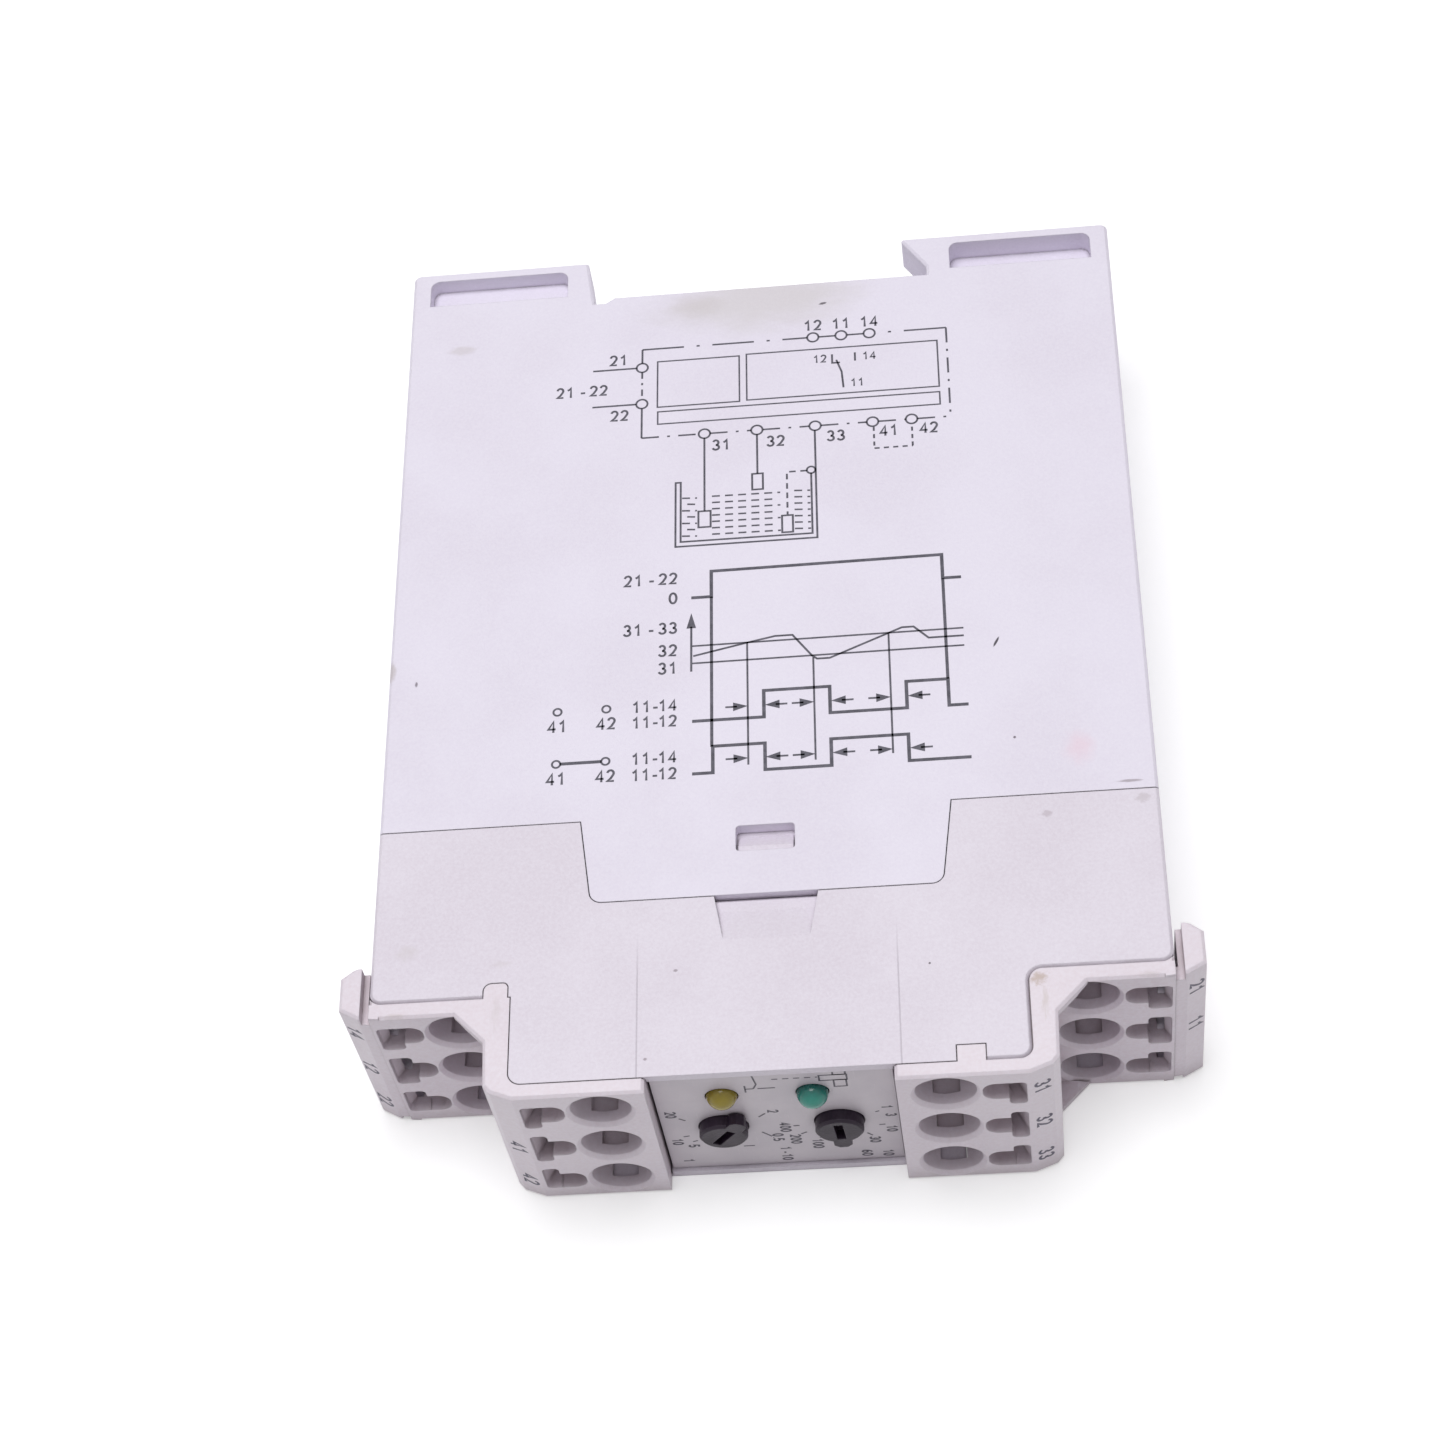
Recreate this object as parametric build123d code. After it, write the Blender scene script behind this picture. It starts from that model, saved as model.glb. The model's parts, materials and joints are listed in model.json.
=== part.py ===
from build123d import *
import os

# Level and delay relay module for a 35 mm top-hat rail, lying on its side.
# X runs along the module's tall side, Y from the terminal faces to the rail, Z through its width.
# Everything is drawn with Y = 0 at the frontmost terminal faces and Z = 0 at the lower side face.
# Each node is moved back by half of the depth as it is written, so the origin is the middle of
# the face that it lies on. All sizes are in millimetres.

# Overall sizes
module_width = 22.5
body_height = 78.0
overall_depth = 104.0
ear_depth = 5.3
seam_y = 30.4

# Shells
wall = 1.5
edge_break = 0.3
seam_gap = 0.1
slip_gap = 0.05
pin_gap = 0.1

# Front steps: the lip of the hood, the outer step, and where the hood turns the corner
lip_y = 1.6
step_y = 11.05
step_x = 25.0
corner_radius = 1.2
outer_face_y = 9.35

# Label recess between the terminal blocks
recess_half = 11.8
recess_lip = 1.0
panel_y = 2.5
panel_thickness = 1.5
label_thickness = 0.5

# Tongue of the rear case and its snap window
tongue_length = 9.4
tongue_root_half = 18.5
tongue_tip_half = 17.35
window_half = 2.95
window_inset = 4.5
window_length = 2.9
window_round = 0.4
snap_height = 0.95
snap_strip_half = 11.4
snap_strip = 0.75
release_half = 5.15
release_tip_half = 4.25
release_length = 4.95
release_depth = 1.1

# Marker ears, which reach back from the terminal blocks outside the hood's end walls
ear_reach = 3.0
ear_gap = 0.3
ear_bevel_y = 9.57
ear_back_y = 15.0
ear_notch_width = 0.9
ear_notch_top = 1.3
ear_notch_bottom = 0.7

# Rail side
ear_plate = 4.3
rail_width = 35.0
rail_offset = 1.3
hook_reach = 2.9
hook_lip = 1.1
ear_clearance = 2.15
ear_slant = 0.75
seat_notch = 0.7
pocket_margin = 1.9
right_pocket_depth = 2.7
left_pocket_depth = 2.0
pocket_front = 0.5
pocket_back = 1.2

# Terminal cells
inner_cell_x = 16.55
outer_cell_inset = 8.3
hole_clearance = 0.275
rim_width = 0.4
rim_depth = 0.4
cell_roof = 4.2
chamber_clearance = 0.3
cell_wall = 0.5
chamber_inboard = 3.6
chamber_outboard = 6.2
core_inset = 1.0
inner_slot = (6.0, 7.7)
outer_slot = (5.7, 8.0)
web_thickness = 1.1
flank_inset = 2.2
slot_height = 5.6
slot_round = 0.5
scoop_height = 3.2
scoop_start = 3.5
scoop_depth = 2.2
guide_width = 2.65
guide_depth = 0.45
guide_start = 1.55

# Terminal screws, clamps and contact bars
head_radius = 2.7
head_top = 4.5
head_height = 2.0
screw_radius = 1.5
screw_end = 14.0
drive_slot = 0.8
drive_depth = 1.2
clamp_length = 5.0
clamp_clearance = 0.2
clamp_side = 0.8
clamp_top = 1.6
clamp_bottom = 1.0
clamp_opening = 4.6
clamp_start = 12.3
bar_thickness = 0.8
bar_height = 3.7
arm_thickness = 0.7
leg_width = 1.2
leg_inset = 2.1
leg_pitch = 2.5

# Boards
board_thickness = 1.6
board_inset = 0.8
board_neck_half = 11.0
front_board_y = 8.3
front_board_thickness = 1.2
ledge = 2.3

# Knobs, trimmers and lamps
knob_radius = 2.4
knob_x = (-5.6, 5.8)
knob_drop = 1.15
knob_front_y = 0.7
knob_clearance = 0.12
knob_turn = (34.0, 177.0)
knob_stem_radius = 1.5
knob_lug_width = 1.8
knob_lug_reach = 1.0
knob_lug_height = 1.15
trimmer_size = 6.6
trimmer_height = 3.2
lamp_x = (-5.1, 3.7)
lamp_rise = 5.5
lamp_radius = 1.55
lamp_tip_y = (0.65, 0.3)

# Rail latch
latch_width = 5.7
latch_foot_width = 7.7
latch_depth = 4.5
latch_foot_height = 1.35
latch_end_inset = 0.6
latch_nose_reach = 2.2
latch_peg_inset = 14.6
latch_peg_size = 1.0
latch_slot_length = 7.5
latch_slot_width = 3.9
spring_radius = 1.4
spring_wire = 0.35
spring_turns = 5

# Parts on the main board
relay_at = (17.0, 52.0)
relay_size = (29.0, 12.8, 15.5)
relay_wall = 0.6
armature_lift = 4.0
transformer_at = (-17.0, 76.0)
core_size = (28.0, 23.4, 9.0)
core_leg = 9.0
core_yoke = 4.6
winding_height = 15.0
chip_at = (-17.0, 50.0)
capacitor_places = ((9.0, 73.0, 5.0, 15.6), (21.5, 73.0, 4.0, 12.0))
varistor_at = (29.0, 88.0)
varistor_radius = 5.5

# Places that follow from the sizes above
half_height = body_height / 2
mid_z = module_width / 2
seat_depth = overall_depth - ear_depth
tongue_tip_y = seam_y - tongue_length
window_start = seam_y - window_inset
hook_root_x = rail_width / 2 + rail_offset
hook_tip_x = hook_root_x - hook_reach
hook_lip_y = seat_depth + hook_lip
rail_edge_x = hook_root_x - rail_width
left_ear_root_x = rail_edge_x - ear_clearance
left_ear_x = left_ear_root_x - ear_slant
cell_pitch = module_width / 3
outer_cell_x = half_height - outer_cell_inset
hole_radius = head_radius + hole_clearance
rim_radius = hole_radius + rim_width
chamber_height = 2 * (head_radius + chamber_clearance)
clamp_height = min(chamber_height, cell_pitch - 2 * cell_wall) - 2 * clamp_clearance
outer_core_back_y = seam_y - core_inset
inner_core_back_y = tongue_tip_y - 3 * seam_gap
leg_start_y = seam_y + leg_inset
board_bottom = wall + snap_strip + 3 * slip_gap
board_half = half_height - wall - 3 * seam_gap
board_front_y = seam_y + board_inset
board_back_y = seat_depth - wall - 0.7
knob_z = mid_z - knob_drop
lamp_z = mid_z + lamp_rise
latch_back_y = seat_depth + latch_depth
latch_end_x = latch_end_inset - half_height
latch_nose_x = rail_edge_x + latch_nose_reach
latch_peg_x = rail_edge_x - latch_peg_inset
board_top = board_bottom + board_thickness
seat_z = board_top + slip_gap
cell_levels = [mid_z + cell_pitch * row for row in (-1, 0, 1)]
cell_columns = {"inner": (inner_cell_x, 0.0, inner_slot), "outer": (outer_cell_x, outer_face_y, outer_slot)}
side_names = {-1: "left", 1: "right"}


def block(x0, x1, y0, y1, z0, z1):
    place = Pos((x0 + x1) / 2, (y0 + y1) / 2, (z0 + z1) / 2)
    return place * Box(abs(x1 - x0), abs(y1 - y0), abs(z1 - z0))


def rod_y(x, z, radius, y0, y1):
    return Pos(x, (y0 + y1) / 2, z) * Rot(90, 0, 0) * Cylinder(radius, y1 - y0)


def rod_z(x, y, radius, z0, z1):
    return Pos(x, y, (z0 + z1) / 2) * Cylinder(radius, z1 - z0)


def slab(face, z0, z1):
    return Pos(0, 0, z0) * extrude(face, z1 - z0, dir=(0, 0, 1))


def outline(points, rounds=()):
    # A flat outline with its named corners rounded
    face = Polygon(*points, align=None)
    for x, y, radius in rounds:
        corner = face.vertices().sort_by_distance((x, y, 0))[0]
        face = fillet(corner, radius)
    return face


def both_faces(shape):
    # The same shape at the lower and the upper side face
    return shape + mirror(shape, Plane.XY.offset(mid_z))


def soften(shape, keep):
    # Break the outline's edges on both side faces, where keep says so
    rims = [edge for edge in shape.edges() if edge.length > 2 * edge_break and keep(edge)]
    return chamfer(rims, edge_break)


def on_side_face(edge):
    low = edge.bounding_box().min.Z
    high = edge.bounding_box().max.Z
    return high < 0.001 or low > module_width - 0.001


def rear_profile():
    # Side view of the rear case with its left ear and its right hook
    points = [(-half_height, seam_y), (half_height, seam_y), (half_height, overall_depth)]
    points += [(hook_tip_x, overall_depth), (hook_root_x, hook_lip_y), (hook_root_x, seat_depth)]
    points += [(left_ear_root_x + 2.25, seat_depth), (left_ear_root_x + 1.25, seat_depth - seat_notch)]
    points += [(left_ear_root_x, seat_depth - seat_notch), (left_ear_x, overall_depth)]
    points += [(-half_height, overall_depth)]
    rounds = [(half_height, overall_depth, 0.8), (-half_height, overall_depth, 0.8)]
    rounds += [(hook_tip_x, overall_depth, 0.3), (left_ear_x, overall_depth, 0.4)]
    return outline(points, rounds)


def tongue_profile():
    points = [(-tongue_root_half, seam_y + wall), (-tongue_root_half, seam_y)]
    points += [(-tongue_tip_half, tongue_tip_y), (tongue_tip_half, tongue_tip_y)]
    points += [(tongue_root_half, seam_y), (tongue_root_half, seam_y + wall)]
    rounds = [(-tongue_tip_half, tongue_tip_y, corner_radius), (tongue_tip_half, tongue_tip_y, corner_radius)]
    return outline(points, rounds)


def ear_pocket(side, depth):
    near = hook_root_x + pocket_margin + 0.7
    far = half_height - pocket_margin - 0.1
    y0 = seat_depth + pocket_front
    y1 = overall_depth - pocket_back
    corners = [(side * near, y0), (side * far, y0), (side * far, y1), (side * near, y1)]
    face = outline(corners, [(side * near, y1, 1.0), (side * far, y1, 1.0)])
    return both_faces(slab(face, -1, depth))


def latch_guide():
    # Two hooked ribs that hold the latch's foot, and the peg that its spring pushes from
    foot = latch_foot_width / 2 + 0.15
    neck = latch_width / 2 + 0.15
    lip_front = seat_depth + 0.15 + latch_foot_height + 0.15
    x0 = latch_end_x + 1.4
    x1 = left_ear_root_x - 2.15
    rib = block(x0, x1, seat_depth - slip_gap, lip_front + 1.25, mid_z + foot, mid_z + foot + 1.0)
    rib += block(x0, x1, lip_front, lip_front + 1.25, mid_z + neck, mid_z + foot + 0.5)
    peg_half = latch_peg_size / 2
    peg = block(latch_peg_x - peg_half, latch_peg_x + peg_half, seat_depth - slip_gap, seat_depth + 3.7, mid_z - 1.35, mid_z + 1.35)
    return both_faces(rib) + peg


def rear_case():
    sides = both_faces(slab(rear_profile(), 0, ear_plate))
    middle = block(-half_height, half_height, seam_y, seat_depth, ear_plate / 2, module_width - ear_plate / 2)
    middle -= block(left_ear_root_x, left_ear_root_x + 1.25, seat_depth - seat_notch, seat_depth + 1, 0, module_width)
    case = soften(sides + middle, lambda edge: on_side_face(edge) and edge.center().Y > seam_y + 0.5)
    inside = half_height - wall
    case -= block(-inside, inside, seam_y - 1, seat_depth - wall, wall, module_width - wall)
    case += both_faces(slab(tongue_profile(), 0, wall))
    window_end = window_start + window_length
    window = block(-window_half, window_half, window_start, window_end, -1, module_width + 1)
    case -= fillet(window.edges().filter_by(Axis.Z), window_round)
    case -= ear_pocket(1, right_pocket_depth) + ear_pocket(-1, left_pocket_depth)
    for side in (-1, 1):
        for row in range(8):
            y = 50 + 5 * row
            case -= block(side * (inside - 1), side * (half_height + 1), y, y + 1.4, 6.0, module_width - 4.0)
        for low, high in ((wall - slip_gap, board_bottom - slip_gap), (board_top + slip_gap, board_top + 1.0)):
            reach = board_half + 0.3
            case += block(side * (reach - ledge), side * (inside + slip_gap), 42, seat_depth - wall, low, high)
    for y in (44, 68, 92):
        case += block(-10, 10, y, y + 1.2, wall - slip_gap, board_bottom - slip_gap)
    return case + latch_guide()


def left_bump():
    points = [(-27.8, step_y - 1), (-27.8, step_y + 1.6), (-25.25, step_y + 1.6), (-25.25, step_y - 1)]
    return outline(points, [(-27.8, step_y + 1.6, 0.9), (-25.25, step_y + 1.6, 0.6)])


def right_tab():
    return outline([(17.8, lip_y - 1), (20.7, lip_y - 1), (20.7, lip_y + 1.7), (17.8, lip_y + 1.7)])


def hood_profile():
    # Side view of the hood, with the two places where the terminal blocks key into it
    back = seam_y - seam_gap
    points = [(-half_height, back), (-half_height, step_y), (-step_x, step_y), (-step_x, lip_y)]
    points += [(step_x, lip_y), (step_x, step_y), (half_height, step_y), (half_height, back)]
    rounds = [(-half_height, step_y, corner_radius), (half_height, step_y, corner_radius)]
    rounds += [(-step_x, lip_y, corner_radius), (step_x, lip_y, corner_radius), (step_x, step_y, 1.4)]
    face = outline(points, rounds)
    return face - left_bump() - right_tab()


def release_recess():
    tip_y = tongue_tip_y - release_length
    points = [(-release_half, tongue_tip_y), (-release_tip_half, tip_y)]
    points += [(release_tip_half, tip_y), (release_half, tongue_tip_y)]
    plan = slab(outline(points), -1, release_depth + 1)
    ramp = Plane.YZ * outline([(tip_y, 0), (tip_y, -1), (tongue_tip_y, -1), (tongue_tip_y, release_depth)])
    return plan & extrude(ramp, release_half + 1, both=True)


def snap_strip_shape():
    # The strip that slides under the tongue, with the bump that fills the snap window
    top = wall + slip_gap
    strip = block(-snap_strip_half, snap_strip_half, tongue_tip_y - 3, seam_y + 1, top, top + snap_strip)
    bump_half = window_half - 0.2
    y0 = window_start + 0.15
    y1 = window_start + window_length - 0.15
    ramp = Plane.YZ * outline([(y0, top + 0.2), (y0, top - snap_height), (y0 + 0.7, top - snap_height), (y1, top + 0.2)])
    web = block(-snap_strip_half, snap_strip_half, tongue_tip_y - 3, tongue_tip_y - 0.4, wall / 2, top + snap_strip)
    return strip + extrude(ramp, bump_half, both=True) + web


def front_hood():
    side = slab(hood_profile(), 0, wall)
    hood = soften(both_faces(side), lambda edge: on_side_face(edge) and abs(edge.center().X) > half_height - 0.1)
    tongue = offset(tongue_profile(), amount=seam_gap)
    hood -= both_faces(slab(tongue, -1, wall + 0.01))
    hood -= both_faces(release_recess())
    hood += both_faces(snap_strip_shape())
    inside = half_height - wall
    back = seam_y - seam_gap
    core_end = outer_core_back_y + seam_gap
    for end in (-1, 1):
        hood -= block(end * recess_half, end * inside, 0, core_end, cell_wall, module_width - cell_wall)
        hood += block(end * inside, end * half_height, step_y + corner_radius, back, wall / 2, module_width - wall / 2)
        hood += block(end * (inside - 1.1), end * inside, core_end, back, 6, module_width - 3)
        hood += block(end * (inside - 1.1), end * (inside - 0.1), core_end, back + 2.6, 6, module_width - 3)
    panel_back = panel_y + panel_thickness
    half_panel = recess_half - slip_gap
    hood -= block(-recess_half, recess_half, lip_y - 1, panel_y, recess_lip, module_width - recess_lip)
    hood += block(-half_panel, half_panel, panel_y, panel_back, wall / 2, module_width - wall / 2)
    for x in (-9.6, 9.6):
        for z in (3.4, module_width - 3.4):
            hood += rod_y(x, z, 1.3, panel_back - slip_gap, front_board_y)
    for x in knob_x:
        hood -= rod_y(x, knob_z, knob_radius + knob_clearance, 0, panel_back + 1)
    for x in lamp_x:
        hood -= rod_y(x, lamp_z, lamp_radius + 0.1, 0, panel_back + 1)
    return hood


def marker_ear(side):
    inner = half_height + ear_gap
    outer = half_height + ear_reach
    points = [(inner, ear_back_y), (outer - 1.2, ear_back_y), (outer, ear_back_y - 0.9)]
    points += [(outer, ear_bevel_y + 1.03), (outer - 1.86, ear_bevel_y), (half_height - 1, outer_face_y)]
    points += [(half_height - 1, step_y - seam_gap), (inner, step_y - seam_gap)]
    ear = slab(outline([(side * x, y) for x, y in points]), 0, module_width)
    ear = soften(ear, lambda edge: on_side_face(edge) and abs(edge.center().X) > half_height + 1.5)
    near = side * half_height
    far = side * (half_height + ear_notch_width)
    ear -= block(near, far, 0, ear_back_y + 1, module_width - ear_notch_top, module_width + 1)
    return ear - block(near, far, 0, ear_back_y + 1, -1, ear_notch_bottom)


def cell_cuts(side, column_x, face_y, slot):
    # Screw hole with its guide groove, keyhole wire entry and open chamber of a row of three cells
    # The end cells are open towards the hood's walls, which close them
    cuts = Part()
    roof_y = face_y + cell_roof
    for z in cell_levels:
        cuts += rod_y(side * column_x, z, hole_radius, face_y - 1, roof_y + 1)
        cuts += Pos(side * column_x, face_y + rim_depth / 2, z) * Rot(90, 0, 0) * Cone(hole_radius, rim_radius, rim_depth)
        low_z = -1 if z == cell_levels[0] else z - chamber_height / 2
        high_z = module_width + 1 if z == cell_levels[-1] else z + chamber_height / 2
        near = side * (column_x - chamber_inboard)
        far = side * (column_x + chamber_outboard)
        cuts += block(near, far, roof_y, outer_core_back_y + 1, low_z, high_z)
        start = column_x + slot[0]
        end = column_x + slot[1]
        wide = column_x + chamber_outboard
        entry = [(start, face_y - 1), (end, face_y - 1), (end, face_y + 0.6), (wide, roof_y - 0.6)]
        entry += [(wide, roof_y + 0.5), (wide - 2.8, roof_y + 0.5), (start, face_y + 1.6)]
        face = outline([(side * x, y) for x, y in entry])
        short = scoop_height / 2
        low_reach = short if z == cell_levels[0] else slot_height / 2
        high_reach = short if z == cell_levels[-1] else slot_height / 2
        entry_cut = slab(face, z - low_reach, z + high_reach)
        cuts += fillet(entry_cut.edges().filter_by(Axis.Y), slot_round)
        scoop_length = slot[0] - scoop_start
        scoop = Rectangle(scoop_length + 2, scoop_height)
        scoop = fillet(scoop.vertices().group_by(Axis.X)[0], 1.3)
        scoop_x = start - scoop_length + (scoop_length + 2) / 2
        scoop = extrude(Rot(90, 0, 0) * scoop, scoop_depth + 1, dir=(0, -1, 0))
        scoop = Pos(scoop_x, face_y + scoop_depth, z) * scoop
        trim = block(start + 0.2, start + 9, face_y - 2, face_y + 9, z - 5, z + 5)
        scoop -= trim
        cuts += scoop if side > 0 else mirror(scoop, Plane.YZ)
        guide = hole_radius + guide_depth
        x = side * column_x
        half_guide = guide_width / 2
        cuts += block(x - half_guide, x + half_guide, face_y + guide_start, roof_y + 1, z - guide, z + guide)
    return cuts


def flank_recess(side):
    # The slanted inner corner of the step is left only as a thin roof and floor
    start_y = outer_face_y - 3.3
    points = [(step_x + 2.7, start_y), (step_x + flank_inset, start_y + 1.2), (step_x + flank_inset, outer_face_y)]
    points += [(half_height - 1, outer_face_y), (half_height - 1, start_y)]
    return slab(outline([(side * x, y) for x, y in points]), web_thickness, module_width - web_thickness)


def terminal_block(side):
    # Stepped front shell across the whole width, and a core that slides in between the hood's walls
    front = [(recess_half + seam_gap, 0), (step_x - 0.35, 0), (step_x + 1.85, 0.85), (step_x + 2.5, lip_y)]
    front += [(step_x + 2.65, outer_face_y - 3.0), (step_x + 5.6, outer_face_y), (half_height, outer_face_y), (half_height, step_y + 2)]
    front += [(recess_half + seam_gap, step_y + 2)]
    region = slab(outline([(side * x, y) for x, y in front]), 0, module_width)
    region = soften(region, lambda edge: on_side_face(edge) and edge.center().Y < step_y + 0.4 and edge.length < 14)
    hood = offset(hood_profile(), amount=seam_gap, kind=Kind.INTERSECTION)
    shell = region - slab(hood, -1, module_width + 1)
    low = cell_wall + slip_gap
    high = module_width - cell_wall - slip_gap
    inboard = recess_half + 1.5 * seam_gap
    core = block(side * inboard, side * (step_x + 1), lip_y - seam_gap, inner_core_back_y, low, high)
    far = half_height - wall - seam_gap
    core += block(side * step_x, side * far, step_y - seam_gap, outer_core_back_y, low, high)
    body = shell + core + marker_ear(side)
    body -= flank_recess(side)
    for column_x, face_y, slot in cell_columns.values():
        body -= cell_cuts(side, column_x, face_y, slot)
    return body


def terminal_screw(x, z, face_y, turn):
    top = face_y + head_top
    under = top + head_height
    screw = rod_y(x, z, head_radius, top, under) + rod_y(x, z, screw_radius, under, face_y + screw_end)
    screw = chamfer(screw.edges().group_by(Axis.Y)[0], 0.25)
    slot = Box(2 * head_radius + 1, 2 * drive_depth, drive_slot)
    cross = Box(drive_slot, 2 * drive_depth, 3.4)
    return screw - Pos(x, top, z) * Rot(0, turn, 0) * (slot + cross)


def clamp_cage(x, z, face_y):
    y0 = face_y + clamp_start
    y1 = y0 + clamp_top + clamp_opening + clamp_bottom
    half_length = clamp_length / 2
    half_clamp = clamp_height / 2
    inner = half_clamp - clamp_side
    cage = block(x - half_length, x + half_length, y0, y1, z - half_clamp, z + half_clamp)
    opening_y = y0 + clamp_top
    cage -= block(x - 5, x + 5, opening_y, opening_y + clamp_opening, z - inner, z + inner)
    return cage - rod_y(x, z, screw_radius + slip_gap, y0 - 1, opening_y + 0.5)


def bar_legs(side, column_x):
    # Where each bar of a row goes down into the board: x, y and the level it comes from
    near = side * (column_x - chamber_inboard + 0.2)
    return [(near, leg_start_y + leg_pitch * row, z) for row, z in enumerate(cell_levels)]


def contact_row(side, column_x, face_y):
    bars = Part()
    tab_y = face_y + screw_end + slip_gap
    for near, leg_y, z in bar_legs(side, column_x):
        inner = near + side * arm_thickness
        tip = side * (column_x + clamp_length / 2 - 0.1)
        arm_low = max(z + 0.5, seat_z)
        bar = block(near, tip, tab_y, tab_y + bar_thickness, z - bar_height / 2, z + bar_height / 2)
        bar += block(near, inner, tab_y, leg_y + leg_width, arm_low, z + bar_height / 2)
        bar += block(near, inner, leg_y, leg_y + leg_width, board_bottom - 0.5, z + bar_height / 2)
        bars += bar
    return bars


def face_plate():
    y1 = panel_y
    half = recess_half - 0.15
    plate = block(-half, half, y1 - label_thickness, y1, recess_lip + 0.1, module_width - recess_lip - 0.1)
    for x in knob_x:
        plate -= rod_y(x, knob_z, knob_radius + knob_clearance, 0, y1 + 1)
    for x in lamp_x:
        plate -= rod_y(x, lamp_z, lamp_radius + 0.1, 0, y1 + 1)
    return plate


def knob(x, turn):
    # A slotted knob with a pointer nub, whose stem turns in its trimmer
    shoulder = front_board_y - trimmer_height - 0.15
    body = rod_y(x, knob_z, knob_radius, knob_front_y, shoulder)
    body = chamfer(body.edges().group_by(Axis.Y)[0], 0.25)
    body += rod_y(x, knob_z, knob_stem_radius, shoulder - slip_gap, front_board_y - 1.0)
    lug_length = 1.5 + knob_lug_reach
    lug = Pos(0, knob_lug_height / 2, knob_radius - 1.5 + lug_length / 2) * Box(knob_lug_width, knob_lug_height, lug_length)
    lug = chamfer(lug.edges().filter_by(Axis.Y).group_by(Axis.Z)[-1], 0.5)
    slot = Box(0.9, 2.2, 3.1)
    place = Pos(x, knob_front_y, knob_z) * Rot(0, turn, 0)
    return body + place * lug - place * slot


def trimmer(x):
    y0 = front_board_y - trimmer_height
    half = trimmer_size / 2
    y1 = front_board_y - slip_gap
    body = block(x - half, x + half, y0, y1, knob_z - half, knob_z + half)
    body = chamfer(body.edges().filter_by(Axis.Y), 0.5)
    return body - rod_y(x, knob_z, knob_stem_radius + slip_gap, y0 - 1, y1 - 0.6)


def lamp(x, tip_y):
    dome_y = tip_y + lamp_radius
    y1 = front_board_y - slip_gap
    body = rod_y(x, lamp_z, lamp_radius, dome_y, y1)
    body += Pos(x, dome_y, lamp_z) * Sphere(lamp_radius)
    return body + rod_y(x, lamp_z, lamp_radius + 0.35, y1 - 1.2, y1)


def relay_pins():
    x, y = relay_at
    return [(x - 12, y), (x - 7, y - 3.8), (x - 7, y + 3.8), (x + 8, y - 3.8), (x + 8, y + 3.8)]


def winding_pins():
    x, y = transformer_at
    return [(x + dx, y + dy) for dx in (-7, 0, 7) for dy in (-5.2, 5.2)]


def capacitor_pins(place):
    x, y, radius, height = place
    return [(x - 1.8, y), (x + 1.8, y)]


def chip_pins():
    x, y = chip_at
    return [(x - 8.89 + 2.54 * row, y + dy) for row in range(8) for dy in (-3.81, 3.81)]


def varistor_pins():
    x, y = varistor_at
    return [(x - 2.5, y), (x + 2.5, y)]


def pins(places, top):
    group = Part()
    for x, y in places:
        group += rod_z(x, y, 0.3, board_bottom - 0.5, top)
    return group


def main_board():
    board = block(-board_half, board_half, board_front_y, board_back_y, board_bottom, board_top)
    neck_y = front_board_y + front_board_thickness + pin_gap
    neck = block(-board_neck_half, board_neck_half, neck_y, board_front_y + 1, board_bottom, board_top)
    board += neck
    for side in side_names:
        for column_x, face_y, slot in cell_columns.values():
            for near, leg_y, z in bar_legs(side, column_x):
                x0 = near - side * pin_gap
                x1 = near + side * (arm_thickness + pin_gap)
                y1 = leg_y + leg_width + pin_gap
                board -= block(x0, x1, leg_y - pin_gap, y1, board_bottom - 1, board_top + 1)
    places = relay_pins() + winding_pins() + chip_pins() + varistor_pins()
    for place in capacitor_places:
        places += capacitor_pins(place)
    for x, y in places:
        board -= rod_z(x, y, 0.3 + pin_gap, board_bottom - 1, board_top + 1)
    return board


def front_board():
    y1 = front_board_y + front_board_thickness
    half = recess_half - 0.6
    low = wall + 0.2
    return block(-half, half, front_board_y, y1, low, module_width - low)


def board_header():
    y0 = front_board_y + front_board_thickness + slip_gap
    header = block(-6.35, 6.35, y0, y0 + 2.5, seat_z, seat_z + 2.5)
    for column in range(5):
        x = -5.08 + 2.54 * column
        header += block(x - 0.3, x + 0.3, y0 + 2, y0 + 4.4, seat_z + 0.9, seat_z + 1.5)
    return header


def relay_base():
    x, y = relay_at
    half_x = relay_size[0] / 2 - relay_wall - pin_gap
    half_y = relay_size[1] / 2 - relay_wall - pin_gap
    base = block(x - half_x, x + half_x, y - half_y, y + half_y, seat_z, seat_z + 1.5)
    return base + pins(relay_pins(), seat_z + 0.1)


def relay_cover():
    x, y = relay_at
    half_x = relay_size[0] / 2
    half_y = relay_size[1] / 2
    top = seat_z + relay_size[2]
    cover = block(x - half_x, x + half_x, y - half_y, y + half_y, seat_z, top)
    cover = chamfer(cover.edges().group_by(Axis.Z)[-1], 0.5)
    inner_x = half_x - relay_wall
    inner_y = half_y - relay_wall
    cover -= block(x - inner_x, x + inner_x, y - inner_y, y + inner_y, seat_z - 1, top - relay_wall)
    return cover


def relay_yoke():
    x, y = relay_at
    foot_z = seat_z + 1.5 + slip_gap
    yoke = block(x - 12.6, x - 11.4, y - 4.5, y + 4.5, foot_z, foot_z + 9.8)
    return yoke + block(x - 12, x - 0.6, y - 4.5, y + 4.5, foot_z, foot_z + 1.2)


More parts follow.
